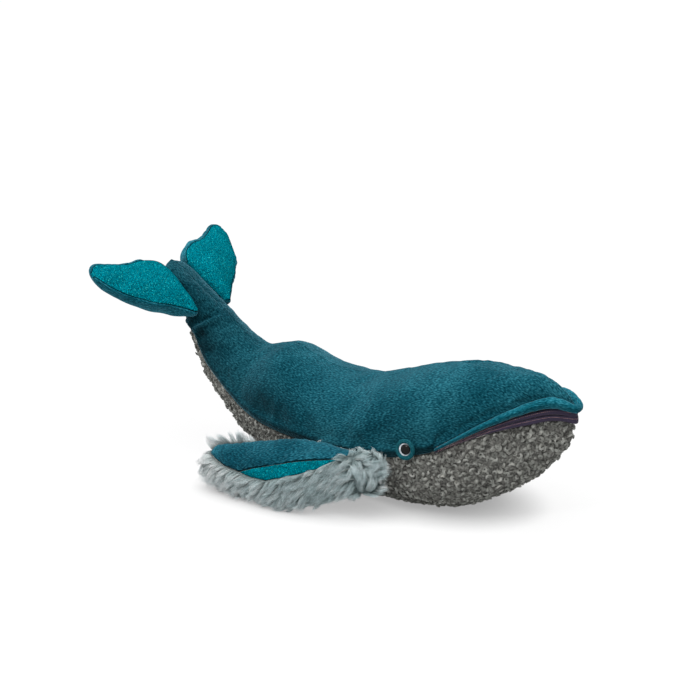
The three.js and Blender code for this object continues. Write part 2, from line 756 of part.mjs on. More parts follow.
function flipperPieces(side, name) {
  const frame = flipperFrame(side);
  const above = flipperThickness * flipperTopShare;
  const below = flipperThickness - above;
  const limb = { frame, table: flipperShares, long: flipperLength, wide: flipperChord };
  const surface = limbSurface({ ...limb, above, below, underPower: pinchPower });
  const edgeOf = (line) => (place) => {
    const [reach, near, far] = smoothRow(flipperShares, place, 3);
    return angleOnTop(lineAt(line, reach), near, far);
  };
  const velourEdge = edgeOf(velourEdgeShares);
  const furEdge = (place) => Math.min(edgeOf(glitterEdgeShares)(place), velourEdge(place));
  const gapAngle = (place) => {
    const [, near, far] = smoothRow(flipperShares, place, 3);
    return (2 * seamGap) / ((far - near) * flipperChord);
  };
  const furShare = (place, angle) => {
    const fromInner = (1 + Math.cos(angle)) / 2;
    const fromEdge = furEdge(place) - Math.acos(Math.cos(angle));
    const start = Math.sin(angle) > 0 ? smoothStep(fromEdge * furRiseShare + 1 / 2) : 1;
    return start * smoothStep((fromInner * furRiseShare) / 2);
  };
  const pile = furThickness - velourThickness;
  const skin = (place, angle) => velourThickness + pile * furShare(place, angle);
  const stand = (angle) => Math.min(Math.max(angle * furRiseShare, -1), 1);
  const outer = limbLayer(surface, frame, skin, stand);
  const inner = limbLayer(surface, frame, () => fillingGap, stand);
  const velourStart = placeAlong(flipperShares, velourStartShare);
  const [glitterStart, glitterEnd] = glitterSpanShares.map((share) => placeAlong(flipperShares, share));
  const places = placesOf(flipperSteps, [velourStart, glitterStart, glitterEnd]);
  const topPlaces = places.filter((place) => place >= velourStart);
  const glitterPlaces = places.filter((place) => place >= glitterStart && place <= glitterEnd);
  const top = (place) => {
    const end = halfTurn - gapAngle(place);
    return [Math.min(velourEdge(place) + gapAngle(place), end), end];
  };
  const glitter = (place) => {
    const middle = (furEdge(place) + velourEdge(place)) / 2;
    const from = Math.min(furEdge(place) + gapAngle(place), middle);
    return [from, Math.max(velourEdge(place) - gapAngle(place), middle)];
  };
  const fur = (place) => {
    const gap = gapAngle(place);
    return [-halfTurn + gap, Math.min(furEdge(place), halfTurn - 2 * gap) - gap];
  };
  const topPanel = panelGeometry(topPlaces, top, 5, outer, inner);
  const stripe = panelGeometry(glitterPlaces, glitter, 2, outer, inner);
  const furPanel = panelGeometry(places, fur, 10, outer, inner);
  addPiece(`flipper_top_panel_${name}`, topPanel, velourTeal, 0.95);
  addPiece(`flipper_glitter_stripe_${name}`, stripe, glitterTeal, 0.5);
  addPiece(`flipper_fur_panel_${name}`, furPanel, furGrey, 1);
  const core = limbLayer(surface, frame, () => 0, () => 0);
  addPiece(`flipper_filling_${name}`, padGeometry(places, 12, core), fillingWhite, 1);
}

// Fluke: its root is sewn along the side of the tail tongue
function flukeFrame(side) {
  const [first, last] = [rootStartShares, rootEndShares]
    .map(([x, z]) => new THREE.Vector3(-bodyLength * x, 0, bodyHeight * z));
  const rootSteps = 8;
  const widths = [...Array(rootSteps).keys()].map((k) => {
    const point = first.clone().lerp(last, k / rootSteps);
    const drops = [0, flukeThickness / 8, flukeThickness / 4];
    const targets = drops.map((drop) => new THREE.Vector3(point.x, 0, point.z - drop));
    return Math.max(...targets.map((target) => Math.abs(sidePoint(target).y)));
  });
  const taper = ((widths[0] - widths[rootSteps - 2]) * rootSteps) / (rootSteps - 2);
  const base = Math.max(...widths.map((width, k) => width + (taper * k) / rootSteps));
  first.y = side * (base + flukeSkin + hingeGap);
  last.y = first.y - side * taper;
  const across = last.clone().sub(first).normalize();
  const droop = THREE.MathUtils.degToRad(flukeDroop - side * tailRoll);
  const along = new THREE.Vector3(0, side, 0).applyAxisAngle(across, side * droop);
  const up = along.clone().cross(across).normalize().multiplyScalar(side);
  return { origin: first, along, across, up, turn: side };
}

function flukePieces(side, name) {
  const frame = flukeFrame(side);
  const above = flukeThickness * flukeTopShare;
  const below = flukeThickness - above;
  const limb = { frame, table: flukeShares, long: flukeReach, wide: flukeChord };
  const surface = limbSurface({ ...limb, above, below, underPower: bulgePower });
  const layers = (stand) => [
    limbLayer(surface, frame, () => flukeSkin, stand), limbLayer(surface, frame, () => fillingGap, stand),
  ];
  const places = placesOf(flukeSteps);
  const top = panelGeometry(places, () => [0, halfTurn], 6, ...layers(() => 1));
  const under = panelGeometry(places, () => [-halfTurn, 0], 6, ...layers(() => -1));
  addPiece(`fluke_top_panel_${name}`, top, glitterTeal, 0.5);
  addPiece(`fluke_under_panel_${name}`, under, velourTeal, 0.95);
  const core = limbLayer(surface, frame, () => 0, () => 0);
  addPiece(`fluke_filling_${name}`, padGeometry(places, 12, core), fillingWhite, 1);
}

for (const [side, name] of [[right, 'right'], [left, 'left']]) {
  flipperPieces(side, name);
  flukePieces(side, name);
}

// The whale stands with the middle of its outline over the origin and its lowest flats on the floor
const outline = new THREE.Box3().setFromObject(whale);
const middle = outline.getCenter(new THREE.Vector3());
whale.children.forEach((piece) => piece.geometry.translate(-middle.x, -middle.y, -outline.min.z));

export default whale;
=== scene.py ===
"""A stuffed plush whale: velour back, curly fleece belly, furry flippers, glitter flukes and safety eyes.

The cloth surfaces are drawn in millimetres from the tables of the CAD solids, with a slimmer nose,
and then moved into the row frame in metres.
"""

import math

import bmesh
import bpy
import numpy as np
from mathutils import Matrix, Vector, kdtree


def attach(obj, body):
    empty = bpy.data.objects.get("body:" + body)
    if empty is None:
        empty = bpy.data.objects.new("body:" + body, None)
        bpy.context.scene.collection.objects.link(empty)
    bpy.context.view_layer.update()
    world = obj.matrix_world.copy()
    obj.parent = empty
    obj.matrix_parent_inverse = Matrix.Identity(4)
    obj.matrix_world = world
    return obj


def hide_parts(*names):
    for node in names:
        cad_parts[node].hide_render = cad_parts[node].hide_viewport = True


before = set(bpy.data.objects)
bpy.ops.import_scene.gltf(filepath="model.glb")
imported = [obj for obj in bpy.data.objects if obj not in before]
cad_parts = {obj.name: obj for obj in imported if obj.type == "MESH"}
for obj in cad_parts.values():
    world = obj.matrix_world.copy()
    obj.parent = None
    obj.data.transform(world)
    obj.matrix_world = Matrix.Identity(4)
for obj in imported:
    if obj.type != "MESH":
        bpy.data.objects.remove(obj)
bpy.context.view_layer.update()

MM = 0.001
SHIFT = np.array([249.3706, 0.0, -0.5])  # mm, from the drawing to the row frame
PI = math.pi
NUDGE = 0.004

# Sizes of the CAD solids, in mm
BODY_LENGTH, BODY_HEIGHT, BODY_HALF_WIDTH = 485.0, 143.0, 74.0
VELOUR, FLEECE, SEAM_GAP, REST_CUT = 2.6, 6.0, 0.3, 0.5
BELLY_FULLNESS, TAIL_FULLNESS = 1.6, 1.05
LIP_RADIUS, LIP_CORNER_RADIUS = 5.6, 1.4
LINING_HEIGHT, LINING_THICKNESS, LINING_CORNER = 5.5, 5.0, 0.16
CORNER_SHARE = 0.233
FLIPPER_LENGTH, FLIPPER_CHORD, FLIPPER_THICKNESS = 190.0, 65.0, 23.0
FLIPPER_TOP, FLIPPER_TILT, HINGE_GAP = 0.6, 50.0, 0.9
PINCH, BULGE = 1.25, 0.85
FLUKE_REACH, FLUKE_CHORD, FLUKE_THICKNESS = 88.0, 100.0, 30.0
FLUKE_TOP, FLUKE_DROOP, TAIL_ROLL, FLUKE_SKIN = 0.3, 3.0, 3.0, 2.0

# Rows along the body: back x, back z, belly x, belly z, half width and how high it is widest,
# in shares of the body's length, height and half width
STATIONS = [
    [0.006, 0.86, -0.002, 0.69, 0.0, 0.5],
    [0.011, 0.885, 0.003, 0.63, 0.07, 0.5],
    [0.024, 0.928, 0.0135, 0.545, 0.13, 0.48],
    [0.046, 0.97, 0.036, 0.448, 0.23, 0.46],
    [0.075, 0.994, 0.063, 0.343, 0.38, 0.45],
    [0.11, 1.005, 0.1, 0.234, 0.57, 0.44],
    [0.155, 1.015, 0.15, 0.129, 0.77, 0.44],
    [0.212, 1.012, 0.215, 0.038, 0.9, 0.44],
    [0.287, 0.964, 0.289, 0.002, 0.973, 0.44],
    [0.384, 0.865, 0.386, 0.0, 1.0, 0.44],
    [0.458, 0.79, 0.462, 0.006, 0.973, 0.44],
    [0.544, 0.783, 0.553, 0.028, 0.892, 0.44],
    [0.612, 0.845, 0.627, 0.056, 0.811, 0.44],
    [0.664, 0.893, 0.687, 0.084, 0.73, 0.44],
    [0.734, 0.835, 0.744, 0.145, 0.605, 0.46],
    [0.777, 0.878, 0.81, 0.315, 0.505, 0.48],
    [0.814, 0.967, 0.866, 0.462, 0.425, 0.5],
    [0.851, 1.052, 0.903, 0.643, 0.355, 0.52],
    [0.874, 1.115, 0.924, 0.818, 0.295, 0.54],
    [0.9, 1.178, 0.939, 1.0, 0.252, 0.56],
    [0.928, 1.241, 0.959, 1.12, 0.23, 0.56],
    [0.955, 1.301, 0.977, 1.19, 0.215, 0.56],
    [0.977, 1.336, 0.994, 1.245, 0.189, 0.55],
    [0.99, 1.343, 0.999, 1.294, 0.0, 0.5],
]
# Lines of points on the side of the body: x and z as shares of its length and height
LIP_LINE = [
    [-0.03, 0.812], [0.0, 0.818], [0.016, 0.826], [0.036, 0.829], [0.058, 0.815],
    [0.09, 0.777], [0.134, 0.706], [0.181, 0.614], [0.233, 0.507], [0.26, 0.452],
]
BELLY_SEAM = [
    [0.21, 0.555], [0.233, 0.507], [0.258, 0.473], [0.312, 0.419], [0.392, 0.376],
    [0.478, 0.356], [0.56, 0.36], [0.641, 0.37], [0.723, 0.418], [0.773, 0.494],
    [0.827, 0.605], [0.857, 0.68], [0.875, 0.756], [0.888, 0.835], [0.91, 0.88], [0.94, 0.93],
]
EYE_PLACE = (0.29, 0.495)
# Rows along a limb: reach, near edge, far edge and thickness, in shares of its sizes
FLIPPER = [
    [0.0, 0.12, 0.42, 0.0],
    [0.03, 0.025, 0.48, 0.32],
    [0.09, 0.02, 0.55, 0.56],
    [0.2, 0.01, 0.67, 0.8],
    [0.34, 0.0, 0.86, 0.98],
    [0.48, 0.02, 1.0, 1.0],
    [0.62, 0.09, 0.99, 0.94],
    [0.75, 0.2, 0.95, 0.82],
    [0.86, 0.3, 0.92, 0.66],
    [0.95, 0.37, 0.82, 0.42],
    [1.0, 0.45, 0.64, 0.0],
]
# Lines on a flipper's upper face: reach and how far across
VELOUR_EDGE = [
    [0.13, 0.0], [0.165, 0.1], [0.21, 0.21], [0.33, 0.315], [0.46, 0.43],
    [0.54, 0.52], [0.66, 0.64], [0.76, 0.75], [0.865, 0.71], [0.94, 0.635], [1.0, 0.55],
]
GLITTER_EDGE = [
    [0.13, 0.0], [0.21, 0.21], [0.25, 0.3], [0.3, 0.43], [0.375, 0.56],
    [0.475, 0.68], [0.58, 0.785], [0.68, 0.785], [0.76, 0.75], [0.865, 0.71], [1.0, 0.55],
]
VELOUR_START, GLITTER_SPAN = 0.13, (0.21, 0.76)
HINGE_SPAN, HINGE_HEIGHT = (0.331, 0.462), 0.404
FLUKE = [
    [0.0, 0.09, 0.7, 0.0],
    [0.03, 0.07, 0.76, 0.65],
    [0.12, 0.135, 0.83, 0.97],
    [0.3, 0.26, 0.885, 1.0],
    [0.46, 0.34, 0.89, 0.94],
    [0.6, 0.44, 0.915, 0.8],
    [0.74, 0.55, 0.965, 0.62],
    [0.86, 0.68, 1.01, 0.46],
    [0.95, 0.81, 1.01, 0.3],
    [1.0, 0.9, 0.96, 0.0],
]
ROOT_START, ROOT_END = (0.868, 1.01), (0.9855, 1.329)

# Pile and strands, in mm
TUFT_SPACING, TUFT_LENGTH, TUFTS_UNDER = 5.2, 13.0, 4.0
FUR_STRANDS, FUR_STEPS, FUR_RADIUS, FUR_PIECES = 36000, 6, 0.18, 6
CURL_SPACING, CURL_STRANDS, CURL_STEPS, CURL_RADIUS, CURL_PIECES = 3.9, 13, 7, 0.3, 9
CURL_TOP = 1.4
STITCH, STITCH_PITCH = 1.2, 1.9

# Places along the body where the front of the head starts to differ from the CAD
NOSE_END, LIP_DROP_END, LIP_DROP = 0.14, 0.15, 5.2
FRONT_END = 0.12


# Drawing helpers: every place, angle and point may be an array

def unit(vectors):
    return vectors / np.maximum(np.linalg.norm(vectors, axis=-1, keepdims=True), 1e-9)


def smooth_step(value):
    t = np.clip(value, 0, 1)
    return t * t * (3 - 2 * t)


def circle(count):
    return np.linspace(0, 2 * PI, count, endpoint=False)


def between(rows, reach):
    """Smooth values between rows, the first and last of which only give the slopes at the ends."""
    start = np.minimum(np.floor(reach).astype(int), len(rows) - 4)
    t = (reach - start)[..., None]
    before, value, end, after = (rows[start + k] for k in range(4))
    slope_in, slope_out, bend = (end - before) / 2, (after - value) / 2, end - value
    cubic = slope_in + slope_out - 2 * bend
    square = 3 * bend - 2 * slope_in - slope_out
    return ((cubic * t + square) * t + slope_in) * t + value


def smooth_row(table, place, shrinking):
    """Row of a table at a place from 0 to 1, smooth between its rows."""
    table = np.asarray(table, float)
    mirror = np.ones(table.shape[1])
    mirror[shrinking] = -1
    rows = np.vstack([table[1] * mirror, table, table[-2] * mirror])
    return between(rows, np.clip(place, 0, 1) * (len(table) - 1))


def rounded_line(points, samples=240):
    """The line through the points, rounded at them, as two arrays."""
    points = np.array(points, float)
    rows = np.vstack([points[0], points, points[-1]])
    return between(rows, np.linspace(0, len(points) - 1, samples)).T


def past_ends(place, angle):
    """Places past an end come back on the other side, so that a form can be measured at its ends."""
    place, angle = np.broadcast_arrays(np.asarray(place, float), np.asarray(angle, float))
    angle = np.where((place < 0) | (place > 1), -angle, angle)
    return np.where(place < 0, -place, np.where(place > 1, 2 - place, place)), angle


LIP = rounded_line(LIP_LINE)
SEAM = rounded_line(BELLY_SEAM)


def body_point(place, angle):
    """Body section: angle 0 is the back, a half turn the belly; the whale's right side comes first."""
    place, angle = past_ends(place, angle)
    back_x, back_z, belly_x, belly_z, half, widest = np.moveaxis(smooth_row(STATIONS, place, 4), -1, 0)
    rise = np.cos(angle)
    to_tail = smooth_step((place - 0.5) * 4)
    fall = (1 + np.minimum(rise, 0)) ** (BELLY_FULLNESS + (TAIL_FULLNESS - BELLY_FULLNESS) * to_tail)
    height = np.where(rise > 0, widest + (1 - widest) * rise, widest * fall)
    x = -BODY_LENGTH * (belly_x + (back_x - belly_x) * height)
    z = BODY_HEIGHT * (belly_z + (back_z - belly_z) * height)
    return np.stack([x, -BODY_HALF_WIDTH * half * np.sin(angle), z], -1)


def outward(surface, place, angle):
    across = surface(place, angle + NUDGE) - surface(place, angle - NUDGE)
    along = surface(place + NUDGE, angle) - surface(place - NUDGE, angle)
    return unit(np.cross(across, along))


def body_normal(place, angle):
    place, angle = np.broadcast_arrays(np.asarray(place, float), np.asarray(angle, float))
    on_line = np.abs(np.sin(angle)) < 2 * NUDGE
    inner = np.clip(place, 2 * NUDGE, 1 - 2 * NUDGE)
    step = np.where(on_line, 4 * NUDGE, 0)
    normal = outward(body_point, inner, angle + step) + outward(body_point, inner, angle - step)
    normal[..., 1] = np.where(on_line | (inner != place), 0, normal[..., 1])
    return -unit(normal)


def crossing_angle(place, line):
    place = np.asarray(place, float)
    low, high = np.zeros_like(place), np.full_like(place, PI)
    for _ in range(40):
        angle = (low + high) / 2
        point = body_point(place, angle)
        above = point[..., 2] / BODY_HEIGHT > np.interp(-point[..., 0] / BODY_LENGTH, *line)
        low, high = np.where(above, angle, low), np.where(above, high, angle)
    return (low + high) / 2


def angle_for(length, place, angle):
    step = body_point(place, angle + NUDGE) - body_point(place, angle - NUDGE)
    return length * 2 * NUDGE / np.maximum(np.linalg.norm(step, axis=-1), 0.001)


def angle_after(length, place, angle):
    for _ in range(12):
        angle = angle + angle_for(length / 12, place, angle)
    return np.clip(angle, 0, PI)


def halved(test, low=0.0, high=1.0):
    """The value between low and high where test stops being true."""
    for _ in range(40):
        middle = (low + high) / 2
        low, high = (middle, high) if test(middle) else (low, middle)
    return (low + high) / 2


def place_of(share):
    return halved(lambda p: -body_point(p, PI / 2)[0] / BODY_LENGTH < share)


CORNER = place_of(CORNER_SHARE)


def lip_radius(place):
    growth = np.sqrt(smooth_step((1 - place / CORNER) * 1.6))
    return LIP_CORNER_RADIUS + (LIP_RADIUS - LIP_CORNER_RADIUS) * growth


def lining_scale(place):
    return LINING_CORNER + (1 - LINING_CORNER) * smooth_step((1 - place / CORNER) * 2)


def lip_centre(place):
    return angle_after(-lip_radius(place), place, crossing_angle(place, LIP))


def mouth_heights(place):
    return lip_radius(place) + SEAM_GAP, LINING_HEIGHT * lining_scale(place) + SEAM_GAP


def back_edge(place):
    place = np.asarray(place, float)
    roll, _ = mouth_heights(place)
    under_lip = angle_after(-roll, place, lip_centre(place))
    under_lip = np.maximum(under_lip, angle_for(VELOUR, place, under_lip))
    under_lip = np.minimum(under_lip, crossing_angle(place, LIP))
    at_seam = angle_after(-SEAM_GAP, place, crossing_angle(place, SEAM))
    return np.where(place >= CORNER, at_seam, under_lip)


def belly_edge(place):
    place = np.asarray(place, float)
    roll, fold = mouth_heights(place)
    under_mouth = angle_after(roll + 2 * fold + SEAM_GAP, place, lip_centre(place))
    at_seam = angle_after(SEAM_GAP, place, crossing_angle(place, SEAM))
    return np.where(place >= CORNER, at_seam, under_mouth)


BELLY_END = halved(lambda p: belly_edge(p) < PI - 1e-9, CORNER, 1.0)


def waves(points, length, seed, count=28):
    """Soft noise of about -1 to 1 with bumps about a length apart, from many plane waves."""
    rng = np.random.default_rng(seed)
    total = np.zeros(points.shape[:-1])
    for _ in range(count):
        direction = unit(rng.normal(size=3)) * 2 * PI / (length * rng.uniform(0.75, 1.5))
        total += np.sin(points @ direction + rng.uniform(0, 2 * PI))
    return total / math.sqrt(count)


def distance_to_line(points, line):
    """Distance from points to a row of points, and which way along it is nearest, from 0 to 1."""
    line = np.asarray(line, float)
    best, along = np.full(points.shape[:-1], 1e9), np.zeros(points.shape[:-1])
    for k in range(len(line) - 1):
        a, d = line[k], line[k + 1] - line[k]
        t = np.clip(((points - a) @ d) / (d @ d), 0, 1)
        off = np.linalg.norm(points - a - t[..., None] * d, axis=-1)
        along = np.where(off < best, (k + t) / (len(line) - 1), along)
        best = np.minimum(best, off)
    return best, along


def length_along(line):
    return np.concatenate([[0], np.cumsum(np.linalg.norm(np.diff(line, axis=0), axis=-1))])


def arc(points):
    """Length along each row's columns, and what is left of it, in mm."""
    step = np.linalg.norm(np.diff(points, axis=1), axis=-1)
    run = np.concatenate([np.zeros((len(points), 1)), np.cumsum(step, 1)], 1)
    return run, run[:, -1:] - run


def round_edge(distance, radius):
    """How far a cloth edge turns in at a distance from it."""
    radius = np.asarray(radius, float)
    t = np.clip(1 - distance / radius, 0, 1)
    return radius * (1 - np.sqrt(np.maximum(1 - t * t, 0)))


def spaced(count, crowding=0.7):
    """count + 1 values from 0 to 1, closer together at both ends."""
    t = np.linspace(0, 1, count + 1)
    return t - crowding * np.sin(2 * PI * t) / (2 * PI)


# Mesh helpers

def linked(name, data):
    made = bpy.data.objects.new(name, data)
    bpy.context.scene.collection.objects.link(made)
    return made


def fit(piece, body, node=None):
    """Hang a piece on its body, and hide the CAD node it replaces."""
    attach(piece, body)
    if node:
        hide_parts(node)


def mesh_object(name, points, faces, material, uvs=None, tidy=False):
    """A piece from points in mm of the drawing; faces is a list of arrays of three or four corners."""
    mesh = bpy.data.meshes.new(name)
    points = (np.asarray(points, float).reshape(-1, 3) + SHIFT) * MM
    loops = np.concatenate([f.ravel() for f in faces]).astype(np.int32)
    sizes = np.concatenate([np.full(len(f), f.shape[1]) for f in faces])
    mesh.vertices.add(len(points))
    mesh.vertices.foreach_set("co", points.astype(np.float32).ravel())
    mesh.loops.add(len(loops))
    mesh.loops.foreach_set("vertex_index", loops)
    mesh.polygons.add(len(sizes))
    mesh.polygons.foreach_set("loop_start", (np.cumsum(sizes) - sizes).astype(np.int32))
    for key, uv in (uvs or {}).items():
        layer = mesh.uv_layers.new(name=key)
        layer.data.foreach_set("uv", np.asarray(uv, np.float32).reshape(-1, 2)[loops].ravel())
    mesh.update(calc_edges=True)
    mesh.validate()
    if tidy:
        bm = bmesh.new()
        bm.from_mesh(mesh)
        bmesh.ops.remove_doubles(bm, verts=bm.verts, dist=2e-6)
        bmesh.ops.dissolve_degenerate(bm, edges=bm.edges, dist=1e-7)
        bmesh.ops.recalc_face_normals(bm, faces=bm.faces)
        bm.to_mesh(mesh)
        bm.free()
    mesh.shade_smooth()
    piece = linked(name, mesh)
    mesh.materials.append(material)
    return piece


def grid_faces(rows, columns, closed=False, start=0):
    """Quads over a grid of rows and columns; closed joins each row's end to its start."""
    last = columns if closed else columns - 1
    i, k = np.meshgrid(np.arange(rows - 1), np.arange(last), indexing="ij")
    n = (k + 1) % columns
    quads = np.stack([i * columns + k, (i + 1) * columns + k, (i + 1) * columns + n, i * columns + n], -1)
    return quads.reshape(-1, 4) + start


def shell(name, outer, inner, material, cloth):
    """A closed sheet of cloth between two grids of points; cloth holds the outer grid's cloth map."""
    rows, columns = outer.shape[:2]
    half = rows * columns
    top = grid_faces(rows, columns)
    bottom = grid_faces(rows, columns, start=half)[:, ::-1]
    at = np.arange(half).reshape(rows, columns)
    rims = []
    for line in (at[0], at[:, -1], at[-1][::-1], at[:, 0][::-1]):
        a, b = line[:-1], line[1:]
        rims.append(np.stack([a, b, b + half, a + half], -1))
    points = np.concatenate([outer.reshape(-1, 3), inner.reshape(-1, 3)])
    maps = {"cloth": np.concatenate([cloth.reshape(-1, 2)] * 2)}
    return mesh_object(name, points, [top, bottom, *rims], material, maps, tidy=True)


def stuffing(name, points, body, node):
    """A filling from rows of points that go all the way round, drawn together at both ends."""
    points[0], points[-1] = points[0].mean(0), points[-1].mean(0)
    piece = mesh_object(name, points, [grid_faces(*points.shape[:2], closed=True)], wadding, tidy=True)
    fit(piece, body, node)


def cloth_map(points):
    """Place on the cloth in metres: along the rows and across them."""
    across, _ = arc(points)
    along = length_along(points[:, points.shape[1] // 2])
    return np.stack([np.broadcast_to(along[:, None], across.shape), across], -1) * MM


def tubes(name, paths, axes, radii, tones, material, sides=3):
    """Many closed tapering tubes, each along its path, in one mesh; the map holds tone and length."""
    count, steps = paths.shape[:2]
    tangent = unit(np.gradient(paths, axis=1))
    side = unit(np.cross(tangent, axes[:, None, :]))
    up = np.cross(side, tangent)
    turn = np.arange(sides) * 2 * PI / sides
    ring = side[:, :, None] * np.cos(turn)[:, None] + up[:, :, None] * np.sin(turn)[:, None]
    points = paths[:, :, None] + ring * radii[:, :, None, None]
    points[..., 2] = np.maximum(points[..., 2], REST_CUT)
    quads = grid_faces(steps, sides, closed=True)
    size = steps * sides
    quads = (quads[None] + (np.arange(count) * size)[:, None, None]).reshape(-1, 4)
    cap = np.arange(sides)
    ends = np.stack([cap, cap[::-1] + size - sides])
    caps = (ends[None] + (np.arange(count) * size)[:, None, None]).reshape(-1, sides)
    u = np.clip(tones, 0, 1)[:, None, None] * 0.94 + 0.02 + (np.arange(sides) / sides * 0.02)[None, None]
    v = np.linspace(0.02, 0.98, steps)[None, :, None]
    uv = np.stack(np.broadcast_arrays(u, v + np.zeros_like(u)), -1)
    return mesh_object(name, points, [quads, caps], material, {"OFBake": uv})


def scatter(points, normals, count, rng, weight=None):
    """Evenly spread places on a grid of points: where, outward direction, and where in the grid."""
    a, b, c, d = points[:-1, :-1], points[1:, :-1], points[1:, 1:], points[:-1, 1:]
    area = np.linalg.norm(np.cross(b - a, c - a), axis=-1) + np.linalg.norm(np.cross(c - a, d - a), axis=-1)
    if weight is not None:
        area = area * (weight[:-1, :-1] + weight[1:, 1:]) / 2
    edges = np.cumsum(area.ravel())
    at = (np.arange(count) + rng.random(count)) * edges[-1] / count
    cell = np.minimum(np.searchsorted(edges, at), len(edges) - 1)
    i, j = np.divmod(cell, points.shape[1] - 1)
    s, t = rng.random(count)[:, None], rng.random(count)[:, None]

    def mixed(grid):
        near = grid[i, j] * (1 - s) + grid[i + 1, j] * s
        far = grid[i, j + 1] * (1 - s) + grid[i + 1, j + 1] * s
        return near * (1 - t) + far * t

    return mixed(points), unit(mixed(normals)), i + s[:, 0], j + t[:, 0]


# Materials

def linear(red, green, blue):
    """A colour written from 0 to 255, as the shader wants it."""
    shares = [c / 255 for c in (red, green, blue)]
    return [*(((c + 0.055) / 1.055) ** 2.4 if c > 10 / 255 else c / 12.92 for c in shares), 1]


def grey(level):
    return (level, level, level)


class Nodes:
    """A node tree that makes its nodes with their inputs set or joined."""

    def __init__(self, tree):
        self.tree = tree

    def node(self, kind, inputs=(), **settings):
        made = self.tree.nodes.new(kind)
        for key, value in settings.items():
            setattr(made, key, value)
        for key, value in dict(inputs).items():
            socket = made.inputs[key]
            if isinstance(value, bpy.types.NodeSocket):
                self.join(value, socket)
            else:
                socket.default_value = value
        return made

    def math(self, operation, a, b):
        return self.node("ShaderNodeMath", {0: a, 1: b}, operation=operation).outputs[0]

    def join(self, value, socket):
        self.tree.links.new(value, socket)


class Look(Nodes):
    """A material with its nodes close at hand."""

    def __init__(self, name, roughness, shine=None, **settings):
        self.material = bpy.data.materials.new(name)
        self.material.use_nodes = True
        super().__init__(self.material.node_tree)
        self.shader = self.tree.nodes["Principled BSDF"]
        self.shader.inputs["Roughness"].default_value = roughness
        if shine is not None:
            self.shader.inputs["Specular IOR Level"].default_value = shine
        for key, value in settings.items():
            self.shader.inputs[key.replace("_", " ")].default_value = value

    def place(self):
        return self.node("ShaderNodeTexCoord").outputs["Object"]

    def uv(self, name):
        return self.node("ShaderNodeUVMap", uv_map=name).outputs["UV"]

    def stretched(self, vector, x, y, z=1.0, turn=0.0):
        made = self.node("ShaderNodeMapping", {"Vector": vector})
        made.inputs["Scale"].default_value = (x, y, z)
        made.inputs["Rotation"].default_value = (0, 0, turn)
        return made.outputs["Vector"]

    def noise(self, vector, scale, detail=2.0, distortion=0.0):
        made = self.node("ShaderNodeTexNoise", {"Vector": vector, "Scale": scale, "Detail": detail})
        made.inputs["Distortion"].default_value = distortion
        return made.outputs["Fac"]

    def ramp(self, value, *stops):
        made = self.node("ShaderNodeValToRGB", {"Fac": value})
        ramp = made.color_ramp
        while len(ramp.elements) < len(stops):
            ramp.elements.new(0.5)
        for element, (at, colour) in zip(ramp.elements, stops):
            element.position = at
            element.color = colour if len(colour) == 4 else linear(*colour)
        return made.outputs["Color"]

    def blend(self, kind, fraction, a, b):
        made = self.node("ShaderNodeMix", data_type="RGBA", blend_type=kind)
        for index, value in ((0, fraction), (6, a), (7, b)):
            if isinstance(value, bpy.types.NodeSocket):
                self.join(value, made.inputs[index])
            else:
                made.inputs[index].default_value = value
        return made.outputs[2]

    def part(self, vector, letter):
        return self.node("ShaderNodeSeparateXYZ", {"Vector": vector}).outputs[letter]

    def paint(self, colour):
        self.join(colour, self.shader.inputs["Base Color"])

    def bump(self, height, distance, strength=1.0, below=None):
        inputs = {"Height": height, "Distance": distance, "Strength": strength}
        if below is not None:
            inputs["Normal"] = below
        made = self.node("ShaderNodeBump", inputs).outputs["Normal"]
        self.join(made, self.shader.inputs["Normal"])
        return made


def velour_look(name, dark, mid, light, turn=0.0, low=112, rear=255):
    """Short pile in fine rows; painted shade makes its colour deeper where it does not face up, and towards
    the tail.
    """
    look = Look(name, 0.95, 0.0, Sheen_Weight=0.85, Sheen_Roughness=0.4, Sheen_Tint=linear(116, 172, 190))
    ribs = look.noise(look.stretched(look.uv("cloth"), 350, 820, turn=turn), 1.0, 0.5, 0.15)
    flecks = look.noise(look.place(), 1150, 2.0)
    nap = look.noise(look.place(), 42, 4.0, 0.5)
    patches = look.noise(look.place(), 15, 2.0, 0.6)
    tone = look.math("MULTIPLY", ribs, 0.46)
    for layer, weight in ((flecks, 0.16), (nap, 0.16), (patches, 0.22)):
        tone = look.math("ADD", tone, look.math("MULTIPLY", layer, weight))
    colour = look.ramp(tone, (0.37, dark), (0.5, mid), (0.63, light))
    # Painted shade: the colour is multiplied down on faces that do not face up (to the low level) and towards
    # the tail (to the rear level).
    facing = look.part(look.node("ShaderNodeTexCoord").outputs["Normal"], "Z")
    half = (low + 255 * 2) // 3
    painted_underside_shade = look.ramp(facing, (0.0, grey(low)), (0.3, grey(half)), (0.8, grey(255)))
    forward = look.math("MULTIPLY", look.math("ADD", look.part(look.place(), "X"), 0.2), 5.0)
    painted_tail_shade = look.ramp(forward, (0.1, grey(rear)), (0.9, grey(255)))
    look.paint(look.blend("MULTIPLY", 1.0, look.blend("MULTIPLY", 1.0, colour, painted_underside_shade), painted_tail_shade))
    first = look.bump(ribs, 0.0009, 0.9)
    look.bump(flecks, 0.0004, 0.6, first)
    return look.material


def strand_look(name, fraction, tones, shade_along, *shader, **sheen):
    """Strands whose colour changes from one to the next and from root to tip, by their own map; the change
    from root to tip is painted shade, darker where a strand nears its backing.
    """
    look = Look(name, *shader, **sheen)
    tone = look.ramp(look.part(look.uv("OFBake"), "X"), *tones)
    along = look.ramp(look.part(look.uv("OFBake"), "Y"), *shade_along)
    look.paint(look.blend("MULTIPLY", fraction, tone, along))
    return look.material


